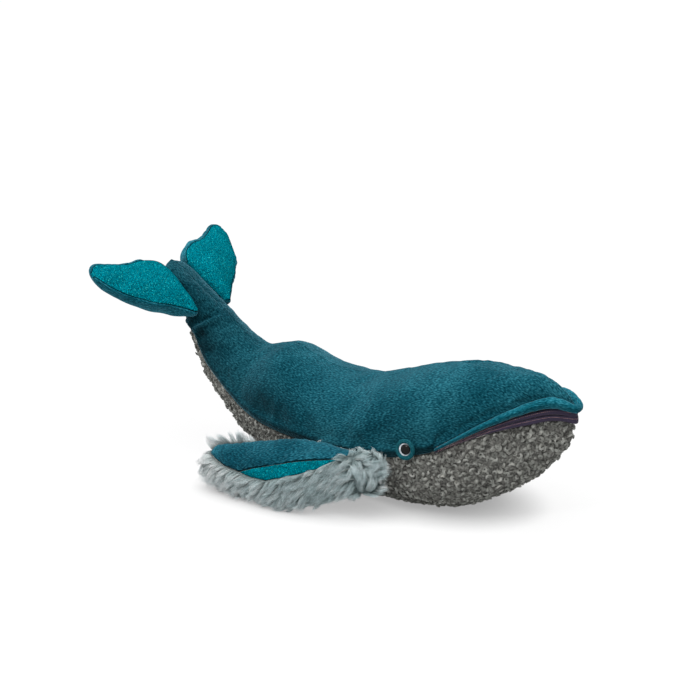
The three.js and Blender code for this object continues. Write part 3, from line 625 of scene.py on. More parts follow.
def fleece_look():
    tones = ((0.0, (104, 104, 100)), (0.45, (160, 162, 157)), (0.75, (190, 191, 186)), (1.0, (216, 215, 208)))
    # Painted shade: each curl strand is darker at both ends, where it meets the backing.
    shade_along = ((0.0, (150, 149, 146)), (0.25, (232, 232, 230)), (0.6, grey(255)), (1.0, (206, 206, 204)))
    sheen = {"Sheen_Weight": 0.2, "Sheen_Roughness": 0.6, "Sheen_Tint": linear(205, 205, 200)}
    return strand_look("curly_fleece", 0.85, tones, shade_along, 0.95, 0.05, **sheen)


def fleece_ground_look():
    look = Look("fleece_ground", 1.0)
    # Painted shade: the backing is darker than the curls on it, and darkest where its own bump is low.
    lumps = look.noise(look.place(), 420, 4.0, 0.8)
    look.paint(look.ramp(lumps, (0.35, (58, 58, 56)), (0.5, (98, 98, 94)), (0.65, (140, 140, 135))))
    look.bump(lumps, 0.0016)
    return look.material


def fur_look():
    tones = ((0.0, (158, 179, 181)), (0.5, (208, 223, 225)), (0.9, grey(255)))
    # Painted shade: each fur strand is darker towards its root.
    shade_along = ((0.0, (116, 128, 126)), (0.35, (200, 208, 207)), (0.75, (250, 252, 252)), (1.0, grey(255)))
    sheen = {"Sheen_Weight": 0.2, "Sheen_Roughness": 0.5, "Sheen_Tint": linear(225, 235, 238)}
    return strand_look("long_fur", 0.9, tones, shade_along, 0.7, 0.25, **sheen)


def fur_ground_look():
    look = Look("fur_ground", 0.95)
    strands = look.noise(look.stretched(look.uv("cloth"), 250, 1400), 1.0, 3.0, 0.5)
    # Painted shade: the backing is darker than the strands on it, and darkest where its own bump is low.
    look.paint(look.ramp(strands, (0.35, (70, 84, 86)), (0.5, (104, 120, 121)), (0.68, (140, 156, 157))))
    look.bump(strands, 0.001)
    return look.material


def glitter_look(name, most=255):
    look = Look(name, 0.6, 0.0)
    cells = look.node("ShaderNodeTexVoronoi", {"Vector": look.place(), "Scale": 1600.0})
    spark = look.node("ShaderNodeSeparateColor", {"Color": cells.outputs["Color"]})
    grain = look.noise(look.place(), 55, 3.0)
    weave = look.noise(look.stretched(look.uv("cloth"), 900, 500, turn=0.7), 1.0, 1.0)
    # Each Voronoi cell is one flake with its own tone; the few brightest cells are painted glints.
    colour = look.ramp(
        spark.outputs[0], (0.0, (0, 92, 108)), (0.3, (0, 122, 140)), (0.8, (0, 152, 172)),
        (0.95, (0, 184, 198)), (1.0, (70, 232, 226)),
    )
    shade = look.ramp(grain, (0.35, grey(206)), (0.65, grey(255)))
    # A most below 255 makes a darker copy of the glitter: painted shade.
    threads = look.ramp(weave, (0.4, grey(most * 5 // 8)), (0.58, grey(most)))
    look.paint(look.blend("MULTIPLY", 0.8, look.blend("MULTIPLY", 0.5, colour, shade), threads))
    look.bump(spark.outputs[2], 0.0005, 0.8)
    return look.material


def lining_look():
    look = Look("mouth_lining", 0.85, 0.15, Sheen_Weight=0.08)
    weave = look.noise(look.stretched(look.uv("cloth"), 1500, 1500), 1.0, 2.0)
    wide = look.noise(look.place(), 60, 2.0)
    colour = look.ramp(weave, (0.35, (38, 32, 48)), (0.65, (72, 64, 86)))
    look.paint(look.blend("MULTIPLY", 0.4, colour, look.ramp(wide, (0.3, grey(180)), (0.7, grey(255)))))
    look.bump(weave, 0.0004, 0.6)
    return look.material


def plain_look(name, low, high, roughness, scale, distance, shine=None):
    look = Look(name, roughness, shine)
    grain = look.noise(look.place(), scale, 3.0)
    look.paint(look.ramp(grain, (0.35, low), (0.65, high)))
    if distance:
        look.bump(grain, distance, 0.5)
    return look.material


velour = velour_look("dark_velour", (0, 46, 58), (18, 78, 92), (48, 118, 133), turn=0.12, rear=204)
velour_light = velour_look("lip_velour", (2, 60, 73), (16, 95, 111), (54, 138, 156), turn=0.3, low=200)
# Painted shade: the flipper velour is a darker copy of the body velour, for the shade of the body beside it.
velour_flipper_shaded = velour_look("flipper_velour", (0, 42, 55), (14, 73, 88), (44, 114, 131), turn=-0.6)
# Painted light: the fluke velour is a lighter copy of the body velour, with less painted shade underneath.
velour_fluke_lit = velour_look("fluke_velour", (2, 62, 76), (20, 98, 114), (60, 142, 158), turn=0.4, low=225)
fleece = fleece_look()
fleece_ground = fleece_ground_look()
fur = fur_look()
fur_ground = fur_ground_look()
glitter = glitter_look("glitter_fabric")
# Painted shade: the flipper stripe uses a darker copy of the same glitter.
glitter_shaded = glitter_look("flipper_glitter", 215)
lining = lining_look()
thread = plain_look("pinstripe_thread", (176, 126, 122), (232, 190, 182), 0.7, 700, 0.0001)
eye_felt = plain_look("eye_ring_felt", (4, 52, 62), (40, 104, 114), 0.95, 1100, 0.0006, 0.0)
eye_white = plain_look("eye_white", (186, 194, 204), (236, 240, 244), 0.3, 300, 0.0, 0.3)
eye_black = plain_look("eye_black", (1, 1, 2), (3, 3, 4), 0.14, 120, 0.0, 0.22)
# Painted shade: a near-black line for the shade in the fluke seam grooves.
seam_shade = plain_look("seam_groove_shade", (0, 18, 23), (2, 36, 43), 0.95, 900, 0.0, 0.0)
washer = plain_look("washer_plastic", (204, 204, 198), (222, 222, 216), 0.5, 200, 0.0)
wadding = plain_look("polyester_wadding", (214, 210, 200), (244, 241, 234), 1.0, 260, 0.001)


# Creases of the filled cloth

class Creases:
    """Fine creases of a closed form of cloth, from filling it in a cloth simulation with its seams held."""

    def __init__(self, name, surface, rows, columns, seams, slack, most):
        self.rows, self.columns, self.end = rows, columns, 0.012
        places, turns = np.linspace(self.end, 1 - self.end, rows), np.arange(columns) * 2 * PI / columns
        place, turn = np.meshgrid(places, turns, indexing="ij")
        self.height = np.zeros((rows, columns))
        points = surface(place, turn)
        moved = filled(name, points, seams(place, turn), slack)
        around = np.roll(points, -1, 1) - np.roll(points, 1, 1)
        normal = unit(np.cross(around, np.gradient(points, axis=0)))
        normal *= np.sign(((points - points.mean((0, 1))) * normal).sum())
        height = ((moved - points) * normal).sum(-1)
        height = height - blurred(height, 7)
        fade = smooth_step(np.minimum(place, 1 - place) * 14)
        self.height = most * np.tanh(height / most) * fade

    def __call__(self, place, angle):
        """Height of the creases at places and angles, in mm."""
        i = np.clip((place - self.end) / (1 - 2 * self.end), 0, 1) * (self.rows - 1)
        j = (angle / (2 * PI) % 1) * self.columns
        i0 = np.minimum(i.astype(int), self.rows - 2)
        j0 = j.astype(int) % self.columns
        s, t, j1 = i - i0, j - np.floor(j), (j0 + 1) % self.columns
        h = self.height
        near = h[i0, j0] * (1 - t) + h[i0, j1] * t
        far = h[i0 + 1, j0] * (1 - t) + h[i0 + 1, j1] * t
        return near * (1 - s) + far * s


def blurred(values, reach):
    """A smooth copy of a grid whose rows go all the way round."""
    kernel = np.exp(-((np.arange(-2 * reach, 2 * reach + 1) / reach) ** 2) * 2)
    kernel /= kernel.sum()
    wide = np.concatenate([values[:, -2 * reach :], values, values[:, : 2 * reach]], 1)
    wide = np.apply_along_axis(lambda row: np.convolve(row, kernel, "valid"), 1, wide)
    tall = np.pad(wide, ((2 * reach, 2 * reach), (0, 0)), "edge")
    return np.apply_along_axis(lambda column: np.convolve(column, kernel, "valid"), 0, tall)


def filled(name, points, held, slack, frames=20):
    """Where the points of a closed cloth form go when it is filled; the held ones stay, in mm."""
    rows, columns = points.shape[:2]
    piece = mesh_object(f"{name}_filled", points, [grid_faces(rows, columns, closed=True)], wadding)
    group = piece.vertex_groups.new(name="held")
    for index in np.flatnonzero(held.ravel() > 0):
        group.add([int(index)], float(held.ravel()[index]), "REPLACE")
    cloth = piece.modifiers.new("cloth", "CLOTH")
    settings = cloth.settings
    settings.quality = 6
    settings.mass = 0.2
    settings.tension_stiffness = settings.compression_stiffness = 12
    settings.shear_stiffness = 6
    settings.bending_stiffness = 0.05
    settings.use_pressure = True
    settings.uniform_pressure_force = 4
    settings.shrink_min = -slack
    settings.vertex_group_mass = "held"
    settings.effector_weights.gravity = 0
    cloth.collision_settings.use_collision = False
    cloth.collision_settings.use_self_collision = False
    cloth.point_cache.frame_start, cloth.point_cache.frame_end = 1, frames
    scene = bpy.context.scene
    for number in range(1, frames + 1):
        scene.frame_set(number)
    shape = piece.evaluated_get(bpy.context.evaluated_depsgraph_get()).to_mesh()
    flat = np.empty(len(shape.vertices) * 3, np.float32)
    shape.vertices.foreach_get("co", flat)
    piece.evaluated_get(bpy.context.evaluated_depsgraph_get()).to_mesh_clear()
    bpy.data.objects.remove(piece)
    scene.frame_set(1)
    return flat.reshape(rows, columns, 3).astype(float) / MM - SHIFT


# Body

def body_seams(place, turn):
    """Which points of the body's form the seams hold."""
    folded = np.arccos(np.cos(turn))
    step = PI / 72
    edge = np.where(place < BELLY_END, back_edge(place), PI)
    held = (folded < step) | (np.abs(folded - edge) < step) | (place < 0.02) | (place > 0.98)
    return np.where(held, 1.0, 0.0)


BODY_CREASES = Creases("body", body_point, 150, 96, body_seams, 0.03, 0.5)

TAIL_FOLD_PLACES = np.array([0.764, 0.755, 0.7485, 0.7425, 0.7365, 0.7315, 0.729])
TAIL_FOLD = body_point(TAIL_FOLD_PLACES, np.array([0.49, 0.408, 0.345, 0.285, 0.225, 0.165, 0.1]) * PI)
HEAD_FOLD_PLACES = np.array([0.345, 0.3275, 0.3175, 0.3, 0.2825, 0.262])
HEAD_FOLD = body_point(HEAD_FOLD_PLACES, np.array([-0.06, 0.0, 0.012, 0.035, 0.05, 0.06]) * PI)


def fold_relief(points, place, line, line_places, depth, bulge, ahead=False):
    """A fold: the cloth past a line is tucked under the rounded edge of the cloth before it, in mm."""
    off, along = distance_to_line(points, line)
    at = np.interp(along, np.linspace(0, 1, len(line_places)), line_places)
    past = (place < at) if ahead else (place > at)
    fade = np.sin(np.clip(along, 0.05, 1) * PI) ** 0.7
    tucked = -depth * np.exp(-off / 10)
    shoulder = bulge * np.exp(-((off / 10) ** 2)) - (depth + bulge) * round_edge(off, 3.0) / 3.0
    return fade * np.where(past, tucked, shoulder)


def nose_relief(place, angle):
    """How far the front of the head lies back from the plain form, most at its top, in mm."""
    high = smooth_step(1.5 - np.abs(angle) / (0.25 * PI))
    return -1.0 * smooth_step(1 - place / NOSE_END) * (0.45 + 0.55 * high)


def body_relief(points, place, angle, side):
    """How far the cloth stands out from the plain form: soft unevenness and a few folds, in mm."""
    relief = 0.7 * waves(points, 60, 1) + 0.12 * waves(points, 20, 2)
    relief += 0.8 * waves(points, 75, 3) * smooth_step((place - 0.45) * 6)
    if side < 0:
        relief += fold_relief(points, place, TAIL_FOLD, TAIL_FOLD_PLACES, 4.2, 3.0)
    relief += fold_relief(points, place, HEAD_FOLD, HEAD_FOLD_PLACES, 1.3, 1.0, ahead=True)
    top = smooth_step(1.4 - np.abs(angle) / (0.3 * PI))
    relief += 1.6 * top * np.exp(-(((place - 0.18) / 0.045) ** 2)) + nose_relief(place, angle)
    return relief + BODY_CREASES(place, angle)


def side_of(points, side):
    out = points.copy()
    out[..., 1] = -side * (np.minimum(points[..., 1], 0) - SEAM_GAP / 2)
    return out


def body_back(side, name):
    places = np.sort(np.append(np.linspace(0, 1, 300), [CORNER - 0.002, CORNER]))
    share = spaced(56)
    edge = back_edge(places)
    behind_lip = edge + angle_for(6.0 * smooth_step(1 - places / LIP_DROP_END), places, edge)
    edge = np.where(places < LIP_DROP_END, np.minimum(behind_lip, crossing_angle(places, LIP)), edge)
    angle = edge[:, None] * share[None]
    place = np.broadcast_to(places[:, None], angle.shape)
    base, normal = body_point(place, angle), body_normal(place, angle)
    run, left = arc(base)
    seam = 0.4 + 0.8 * smooth_step((0.16 - place) * 12)
    behind = place > CORNER
    inset = round_edge(run, seam) + np.where(behind, round_edge(left, 6.0) * 2.3 / 6, 0)
    rim = np.where(behind, 1.5 * np.exp(-(((left - 7) / 5) ** 2)) * smooth_step(left / 5), 0)
    calm = 8 - 5 * smooth_step(1 - place / FRONT_END)
    height = body_relief(base, place, angle, side) * smooth_step(left / calm) + rim - inset
    depth = VELOUR - 0.2 - nose_relief(place, angle) * smooth_step(left / calm)
    outer, inner = base + normal * height[..., None], base - normal * depth[..., None]
    outer[..., 2] = np.maximum(outer[..., 2], REST_CUT)
    piece = shell(f"back_velour_{name}", side_of(outer, side), side_of(inner, side), velour, cloth_map(base))
    fit(piece, "body", f"back_panel_{name}")


def corner_distance(points):
    """How far points are from the mouth corner on their own side."""
    folded = np.stack([points[..., 0], -np.abs(points[..., 1]), points[..., 2]], -1)
    return np.linalg.norm(folded - body_point(CORNER, crossing_angle(CORNER, SEAM)), axis=-1)


def belly_grid(rows, columns, depth):
    places = np.sort(np.append(np.linspace(0, BELLY_END, rows), [CORNER - 0.002, CORNER]))
    edge = np.minimum(belly_edge(places), PI)
    angle = edge[:, None] + (2 * PI - 2 * edge)[:, None] * spaced(columns)[None]
    place = np.broadcast_to(places[:, None], angle.shape)
    base, normal = body_point(place, angle), body_normal(place, angle)
    run, left = arc(base)
    inset = round_edge(run, 3.0) + round_edge(left, 3.0) + 2.6 * np.exp(-((corner_distance(base) / 7) ** 2))
    surface = base - normal * (depth + inset)[..., None]
    surface[..., 2] = np.maximum(surface[..., 2], REST_CUT)
    return place, base, normal, surface


def body_belly():
    place, base, normal, ground = belly_grid(190, 150, 2.6)
    lumps = 0.9 * waves(base, 7.5, 11) + 0.3 * waves(base, 3.6, 12) + 2.0 * smooth_step((place - 0.7) * 8)
    outer = ground + normal * (lumps * smooth_step(np.minimum(*arc(ground)) / 4))[..., None]
    outer[..., 2] = np.maximum(outer[..., 2], REST_CUT)
    inner = base - normal * (FLEECE - 0.6)
    inner[..., 2] = np.maximum(inner[..., 2], REST_CUT + 0.8)
    piece = shell("belly_fleece", outer, inner, fleece_ground, cloth_map(base))
    fit(piece, "body", "belly_panel")
    return normal, outer


def spread(points, normals, spacing, rng, tries=9):
    """Places on a grid of points at least a spacing apart: where, outward direction, row and column."""
    a, b = points[:-1, :-1], points[1:, 1:]
    area = np.linalg.norm(np.cross(points[1:, :-1] - a, points[:-1, 1:] - a), axis=-1).sum()
    at, out, row, column = scatter(points, normals, int(tries * area / spacing**2), rng)
    cells, kept = {}, []
    keys = np.floor(at / spacing).astype(int)
    beside = [(i, j, m) for i in (-1, 0, 1) for j in (-1, 0, 1) for m in (-1, 0, 1)]
    for k in rng.permutation(len(at)):
        x, y, z = keys[k]
        near = [n for i, j, m in beside for n in cells.get((x + i, y + j, z + m), ())]
        if near and (((at[near] - at[k]) ** 2).sum(-1) < spacing**2).any():
            continue
        cells.setdefault((x, y, z), []).append(k)
        kept.append(k)
    kept = np.array(kept)
    return at[kept], out[kept], row[kept], column[kept]


def fleece_curls(normal, ground):
    """Curled locks of pile all over the belly, each of many strands that turn together."""
    rng = np.random.default_rng(21)
    centre, out, row, _ = spread(ground, normal, CURL_SPACING, rng)
    clear = corner_distance(centre) > 5
    centre, out, row = centre[clear], out[clear], row[clear]
    count = len(centre)
    side = unit(np.cross(out, rng.normal(size=(count, 3))))
    tilt = rng.uniform(0.0, 1.25, count)[:, None]
    axis = out * np.cos(tilt) + side * np.sin(tilt)
    e1 = unit(np.cross(axis, rng.normal(size=(count, 3))))
    e2 = np.cross(axis, e1)
    size = rng.uniform(1.5, 3.0, count)
    turns = rng.uniform(1.1, 2.2, count) / size
    climb = rng.uniform(-2.0, 2.0, count)
    lift = rng.uniform(-0.5, 0.5, count)
    # Painted shade and light: locks in the hollows of the ground's lumps get a darker tone, locks on the
    # lumps a lighter one.
    high = waves(centre, 7.5, 11)
    tone = 0.5 + 0.2 * np.tanh(1.3 * high) + 0.07 * waves(centre, 26, 31) + rng.normal(0, 0.09, count)
    pick = np.repeat(np.arange(count), CURL_STRANDS)
    total = len(pick)
    t = np.linspace(0, 1, CURL_STEPS)[None]
    wide = (size[pick] + rng.uniform(-1.2, 1.2, total))[:, None] * (1 - 0.35 * t)
    phase = 2 * PI * turns[pick][:, None] * t + rng.normal(0, 0.28, (total, 1))
    rise = rng.uniform(-1.0, 1.0, (total, 1)) + climb[pick][:, None] * (t - 0.5)
    stand = lift[pick][:, None] + 1.1 * np.sin(PI * t) - 0.4
    paths = (
        centre[pick][:, None]
        - (size[pick][:, None] * e1[pick] * 0.7)[:, None]
        + (wide * np.cos(phase))[..., None] * e1[pick][:, None]
        + (wide * np.sin(phase))[..., None] * e2[pick][:, None]
        + rise[..., None] * axis[pick][:, None]
        + stand[..., None] * out[pick][:, None]
    )
    high = ((paths - centre[pick][:, None]) * out[pick][:, None]).sum(-1)
    high = np.maximum(high - CURL_TOP, 0) * 0.65
    paths = paths - high[..., None] * out[pick][:, None]
    radii = CURL_RADIUS * (0.45 + 0.55 * np.sin(PI * np.linspace(0.15, 0.9, CURL_STEPS)))[None]
    radii = radii * rng.uniform(0.7, 1.3, (total, 1))
    tones = tone[pick] + rng.normal(0, 0.1, total)
    edges = np.quantile(row, np.linspace(0, 1, CURL_PIECES + 1))
    part = np.clip(np.searchsorted(edges, row[pick], "right") - 1, 0, CURL_PIECES - 1)
    for k in range(CURL_PIECES):
        keep = part == k
        piece = tubes(f"belly_curls_{k + 1}", paths[keep], axis[pick][keep], radii[keep], tones[keep], fleece)
        fit(piece, "body")


def body_stuffing():
    place, turn = np.meshgrid(np.linspace(0.03, 0.996, 90), circle(72), indexing="ij")
    base = body_point(place, turn)
    depth = np.where(np.cos(turn) < 0.1, FLEECE, VELOUR) + 1.6 - nose_relief(place, np.arccos(np.cos(turn)))
    depth = depth + 3.0 * np.exp(-((corner_distance(base) / 8) ** 2)) + 3.0 * smooth_step(1 - place / 0.06)
    points = base - body_normal(place, turn) * depth[..., None]
    points[..., 2] = np.maximum(points[..., 2], FLEECE)
    stuffing("body_stuffing", points, "body", "body_filling")


# Mouth

def mouth_rows(angle_at, stand_at, steps):
    """Rows from the right mouth corner round the nose to the left one."""
    share = np.linspace(-1, 1, steps)
    place = (CORNER - 0.3 * NUDGE) * np.abs(share)
    angle = angle_at(place)
    out = body_normal(place, angle)
    centre = body_point(place, angle) + out * stand_at(place)[:, None]
    up = unit(body_point(place, angle - NUDGE) - body_point(place, angle + NUDGE))
    flip = np.where(share > 0, -1, 1)[:, None] * np.array([[0, 1, 0]]) + np.array([[1, 0, 1]])
    return place, centre * flip, up * flip, out * flip


def roll(name, centre, up, out, section, material):
    """A roll with the given section: arrays of height and thickness round it for each row."""
    height, thick = section
    points = centre[:, None] + up[:, None] * height[..., None] + out[:, None] * thick[..., None]
    rows, columns = points.shape[:2]
    along = length_along(centre)
    around = circle(columns) * LIP_RADIUS
    cloth = np.stack(np.broadcast_arrays(along[:, None], around[None]), -1) * MM
    middle = len(points.reshape(-1, 3))
    ends = [points[0].mean(0), points[-1].mean(0)]
    first, last = np.arange(columns), np.arange(columns) + (rows - 1) * columns
    fans = [
        np.stack([np.roll(first, -1), first, np.full(columns, middle)], -1),
        np.stack([last, np.roll(last, -1), np.full(columns, middle + 1)], -1),
    ]
    points = np.concatenate([points.reshape(-1, 3), ends])
    cloth = np.concatenate([cloth.reshape(-1, 2), [[0, 0], [0, 0]]])
    faces = [grid_faces(rows, columns, closed=True), *fans]
    return mesh_object(name, points, faces, material, {"cloth": cloth}, tidy=True)


def lip():
    place, centre, up, out = mouth_rows(lip_centre, lambda p: lip_radius(p) + SEAM_GAP - VELOUR, 260)
    turn = circle(28)
    front = smooth_step(1 - place / LIP_DROP_END)[:, None]
    centre = centre - (up * LIP_DROP - out * 0.4) * front
    radius = lip_radius(place)[:, None] * (1 - 0.25 * front)
    dents = 0.16 * waves(centre, 9, 41)[:, None] + 0.1 * waves(centre, 4.5, 42)[:, None]
    size = radius * (1 + dents / 5)
    section = (size * np.cos(turn)[None], size * np.sin(turn)[None])
    piece = roll("lip_roll_velour", centre, up, out, section, velour_light)
    fit(piece, "body", "upper_lip_roll")


def fold_rows(order, steps=240):
    def angle(place):
        edge, fold = mouth_heights(place)
        return angle_after(edge + fold * (order + 0.5), place, lip_centre(place))

    half = LINING_THICKNESS / 2
    return mouth_rows(angle, lambda p: half * lining_scale(p) + SEAM_GAP - VELOUR, steps)


def lining_fold(order, name):
    place, centre, up, out = fold_rows(order)
    scale = lining_scale(place)[:, None]
    squared = 0.62
    turns = np.cos(circle(24)), np.sin(circle(24))
    high, thick = (np.sign(turn) * np.abs(turn) ** squared for turn in turns)
    ripple = 1 + 0.03 * waves(centre, 14, 50 + order)[:, None]
    full = 1 + 0.35 * smooth_step(1 - place / 0.1)[:, None]
    section = (
        LINING_HEIGHT / 2 * scale * full * high[None],
        LINING_THICKNESS / 2 * scale * thick[None] * ripple,
    )
    piece = roll(f"mouth_fold_{name}", centre, up, out, section, lining)
    fit(piece, "body", f"mouth_lining_{name}")


def pinstripes():
    """Short pale stitches in lines along the folds of the lining."""
    paths = []
    for order, height in ((0, 0.3), (1, 0.4)):
        place, centre, up, out = fold_rows(order, 1200)
        scale = lining_scale(place)[:, None]
        line = centre + up * LINING_HEIGHT / 2 * scale * height + out * LINING_THICKNESS / 2 * scale * 0.97
        run = length_along(line)
        for start in np.arange(4, run[-1] - 4, STITCH_PITCH):
            at = start + np.linspace(0, STITCH, 4)
            paths.append(np.stack([np.interp(at, run, line[:, k]) for k in range(3)], -1))
    paths = np.array(paths)
    radii = np.broadcast_to(np.array([0.07, 0.15, 0.15, 0.07]), paths.shape[:2])
    axes = np.broadcast_to([0.0, 0.0, 1.0], (len(paths), 3))
    rng = np.random.default_rng(51)
    piece = tubes("mouth_pinstripes", paths, axes, radii, rng.random(len(paths)), thread, sides=5)
    fit(piece, "body")


# Eyes

def turned(name, profile, centre, out, material, segments=64):
    """A turned piece from its profile of radius and height, standing on a point along a direction."""
    profile = np.array(profile, float)
    turn = circle(segments)
    e1 = unit(np.cross(out, [0.0, 0.0, 1.0]))
    e2 = np.cross(out, e1)
    ring = e1 * np.cos(turn)[:, None] + e2 * np.sin(turn)[:, None]
    points = centre + profile[:, None, :1] * ring[None] + profile[:, None, 1:] * out
    faces = grid_faces(len(profile), segments, closed=True)
    uv = np.stack(np.broadcast_arrays(turn[None] * 0.005, profile[:, 1:] * MM), -1)
    return mesh_object(name, points, [faces], material, {"cloth": uv}, tidy=True)


def eye(side, name):
    place = np.array(place_of(EYE_PLACE[0]))
    angle = crossing_angle(place, ([0, 1], [EYE_PLACE[1]] * 2))
    centre, out = body_point(place, angle), body_normal(place, angle)
    centre, out = centre * [1, -side, 1], out * [1, -side, 1]
    gap = 0.3
    base = 1.6 + gap
    turn = np.linspace(0, PI, 15)
    tube = [(8.1 + 2.05 * np.cos(a), 2.5 + 1.75 * np.sin(a)) for a in turn]
    ring = [(2.35, 0.3), (9.6, 0.3), (10.2, 1.4), *tube, (6.5, 1.95), (2.35, 1.9), (2.35, 0.3)]
    piece = turned(f"eye_ring_{name}", ring, centre, out, eye_felt, 96)
    fit(piece, "body", f"eye_surround_{name}")
    low = base + gap
    white = [
        (0, low - 12), (2.2, low - 12), (2.2, low), (6.0, low), (6.2, low + 0.2), (6.2, low + 0.5),
        (6.0, low + 0.8), (5.6, low + 1.0), (0, low + 1.0),
    ]
    piece = turned(f"eye_disc_{name}", white, centre, out, eye_white)
    fit(piece, "body", f"eye_white_{name}")
    low = low + 1.0 + 0.05
    arch = np.linspace(0, PI / 2, 14)
    dome = [(0, low), (4.9, low), *[(5.1 * np.cos(a), low + 0.1 + 2.2 * np.sin(a)) for a in arch]]
    aside = np.array([1.0, 0.0, 0.5])
    aside = aside - (aside @ out) * out
    piece = turned(f"eye_dome_{name}", dome, centre + aside, out, eye_black, 80)
    fit(piece, "body", f"eye_pupil_{name}")
    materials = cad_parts[f"eye_washer_{name}"].data.materials
    materials.clear()
    materials.append(washer)


# Limbs

class Limb:
    """A pad between two edges in one plane, with pinched seams round it."""

    def __init__(self, origin, along, across, up, turn, table, long, wide, above, below, under_power):
        self.origin, self.along, self.across, self.up, self.turn = origin, along, across, up, turn
        self.table, self.long, self.wide = table, long, wide
        self.above, self.below, self.under_power = above, below, under_power

    def surface(self, place, angle):
        place, angle = past_ends(place, angle)
        reach, near, far, swell = np.moveaxis(smooth_row(self.table, place, 3), -1, 0)
        across = (near + far) / 2 + ((far - near) / 2) * np.cos(angle)
        turned_by = np.sin(angle)
        lift = np.where(
            turned_by > 0,
            self.above * np.maximum(turned_by, 0) ** PINCH,
            -self.below * np.maximum(-turned_by, 0) ** self.under_power,
        )
        return (
            self.origin
            + (reach * self.long)[..., None] * self.along
            + (across * self.wide)[..., None] * self.across
            + (lift * swell)[..., None] * self.up
        )

    def normal(self, place, angle):
        step = 6 * NUDGE
        inner = np.clip(place, step, 1 - step)
        on_edge = np.abs(np.sin(angle)) < step
        spread = np.where(on_edge, step, 0)
        normal = outward(self.surface, inner, angle + spread) + outward(self.surface, inner, angle - spread)
        flat = normal - (normal @ self.up)[..., None] * self.up
        normal = np.where((on_edge | (inner != place))[..., None], flat, normal)
        return unit(normal) * self.turn

    def layer(self, place, angle, height, stand=0.0):
        point = self.surface(place, angle) + self.normal(place, angle) * np.asarray(height)[..., None]
        point = point + np.asarray(stand)[..., None] * self.up * SEAM_GAP / 2
        point[..., 2] = np.maximum(point[..., 2], REST_CUT)
        return point

    def place_along(self, share):
        return halved(lambda p: smooth_row(self.table, np.array(p), 3)[0] < share)


def turned_about(vector, axis, angle):
    axis = unit(np.asarray(axis, float))
    vector = np.asarray(vector, float)
    return (
        vector * math.cos(angle)
        + np.cross(axis, vector) * math.sin(angle)
        + axis * (axis @ vector) * (1 - math.cos(angle))
    )


def flipper_limb(side):
    start, end = (place_of(share) for share in HINGE_SPAN)
    reach = start + (end - start) * np.linspace(0, 1, 5)
    line = body_point(reach, crossing_angle(reach, ([0, 1], [HINGE_HEIGHT] * 2)))
    along = np.array([-1.0, 0, 0])
    across = turned_about([0, side, 0], along, side * math.radians(FLIPPER_TILT))
    up = np.cross(along, across) * -side
    origin = line[0].copy()
    origin[1] = side * (np.abs(line[:, 1]).max() + VELOUR + HINGE_GAP)
    above = FLIPPER_THICKNESS * FLIPPER_TOP
    sizes = (FLIPPER_LENGTH, FLIPPER_CHORD, above, FLIPPER_THICKNESS - above)
    return Limb(origin, along, across, up, -side, FLIPPER, *sizes, PINCH)


def side_point(x, z):
    level = ([0, 1], [z / BODY_HEIGHT] * 2)
    place = halved(lambda p: body_point(p, crossing_angle(p, level))[0] > x)
    return body_point(place, crossing_angle(place, level))


def fluke_limb(side):
    first, last = (np.array([-BODY_LENGTH * x, 0, BODY_HEIGHT * z]) for x, z in (ROOT_START, ROOT_END))
    steps = 8
    widths = []
    for k in range(steps):
        point = first + (last - first) * k / steps
        drops = (0, FLUKE_THICKNESS / 8, FLUKE_THICKNESS / 4)
        widths.append(max(abs(side_point(point[0], point[2] - drop)[1]) for drop in drops))
    taper = (widths[0] - widths[steps - 2]) * steps / (steps - 2)
    base = max(width + taper * k / steps for k, width in enumerate(widths))
    first[1] = side * (base + FLUKE_SKIN + HINGE_GAP)
    last[1] = first[1] - side * taper
    across = unit(last - first)
    along = turned_about([0, side, 0], across, side * math.radians(FLUKE_DROOP - side * TAIL_ROLL))
    up = unit(np.cross(along, across)) * side
    above = FLUKE_THICKNESS * FLUKE_TOP
    sizes = (FLUKE_REACH, FLUKE_CHORD, above, FLUKE_THICKNESS - above)
    return Limb(first, along, across, up, side, FLUKE, *sizes, BULGE)


def limb_panel(name, limb, places, span, columns, height, stand, material, edges, relief, thick):
    """One cloth panel of a limb between two angles at each place, with its edges turned in."""
    low, high = span(places)
    angle = low[:, None] + (high - low)[:, None] * spaced(columns)[None]
    place = np.broadcast_to(places[:, None], angle.shape)
    base = limb.layer(place, angle, np.full(angle.shape, height), stand(angle))
    run, left = arc(base)
    inset = round_edge(run, edges[0]) + round_edge(left, edges[1])
    rise = np.maximum(height + relief(base, run, left) - inset, height - thick + 0.15)
    outer = limb.layer(place, angle, rise, stand(angle))
    inner = limb.layer(place, angle, np.full(angle.shape, height - thick), stand(angle))
    return shell(name, outer, inner, material, cloth_map(base)), place, angle, outer


def puckers(seed, pitch=7.0, depth=0.55, soft=0.5):
    """Small gathers that run in from the seams and fade out, over soft unevenness."""

    def relief(base, run, left):
        near = np.minimum(run, left)
        wave = waves(base, pitch, seed)
        return depth * wave * np.exp(-near / 9) * smooth_step(near / 2) + soft * waves(base, 28, seed + 1)

    return relief


def lowered(plain, amount, close):
    """The relief of a cloth, lower where a test says that it comes close to the body."""

    def relief(base, run, left):
        return plain(base, run, left) - amount * smooth_step(close(base, left))

    return relief


def limb_stuffing(limb, kind, name, rows):
    place, turn = np.meshgrid(np.linspace(0.002, 0.998, rows), circle(40), indexing="ij")
    points = limb.layer(place, turn, np.zeros(turn.shape))
    stuffing(f"{kind}_stuffing_{name}", points, f"{kind}_{name}", f"{kind}_filling_{name}")


def angle_on_top(share, near, far):
    return np.arccos(np.clip(2 * (share - near) / (far - near) - 1, -1, 1))


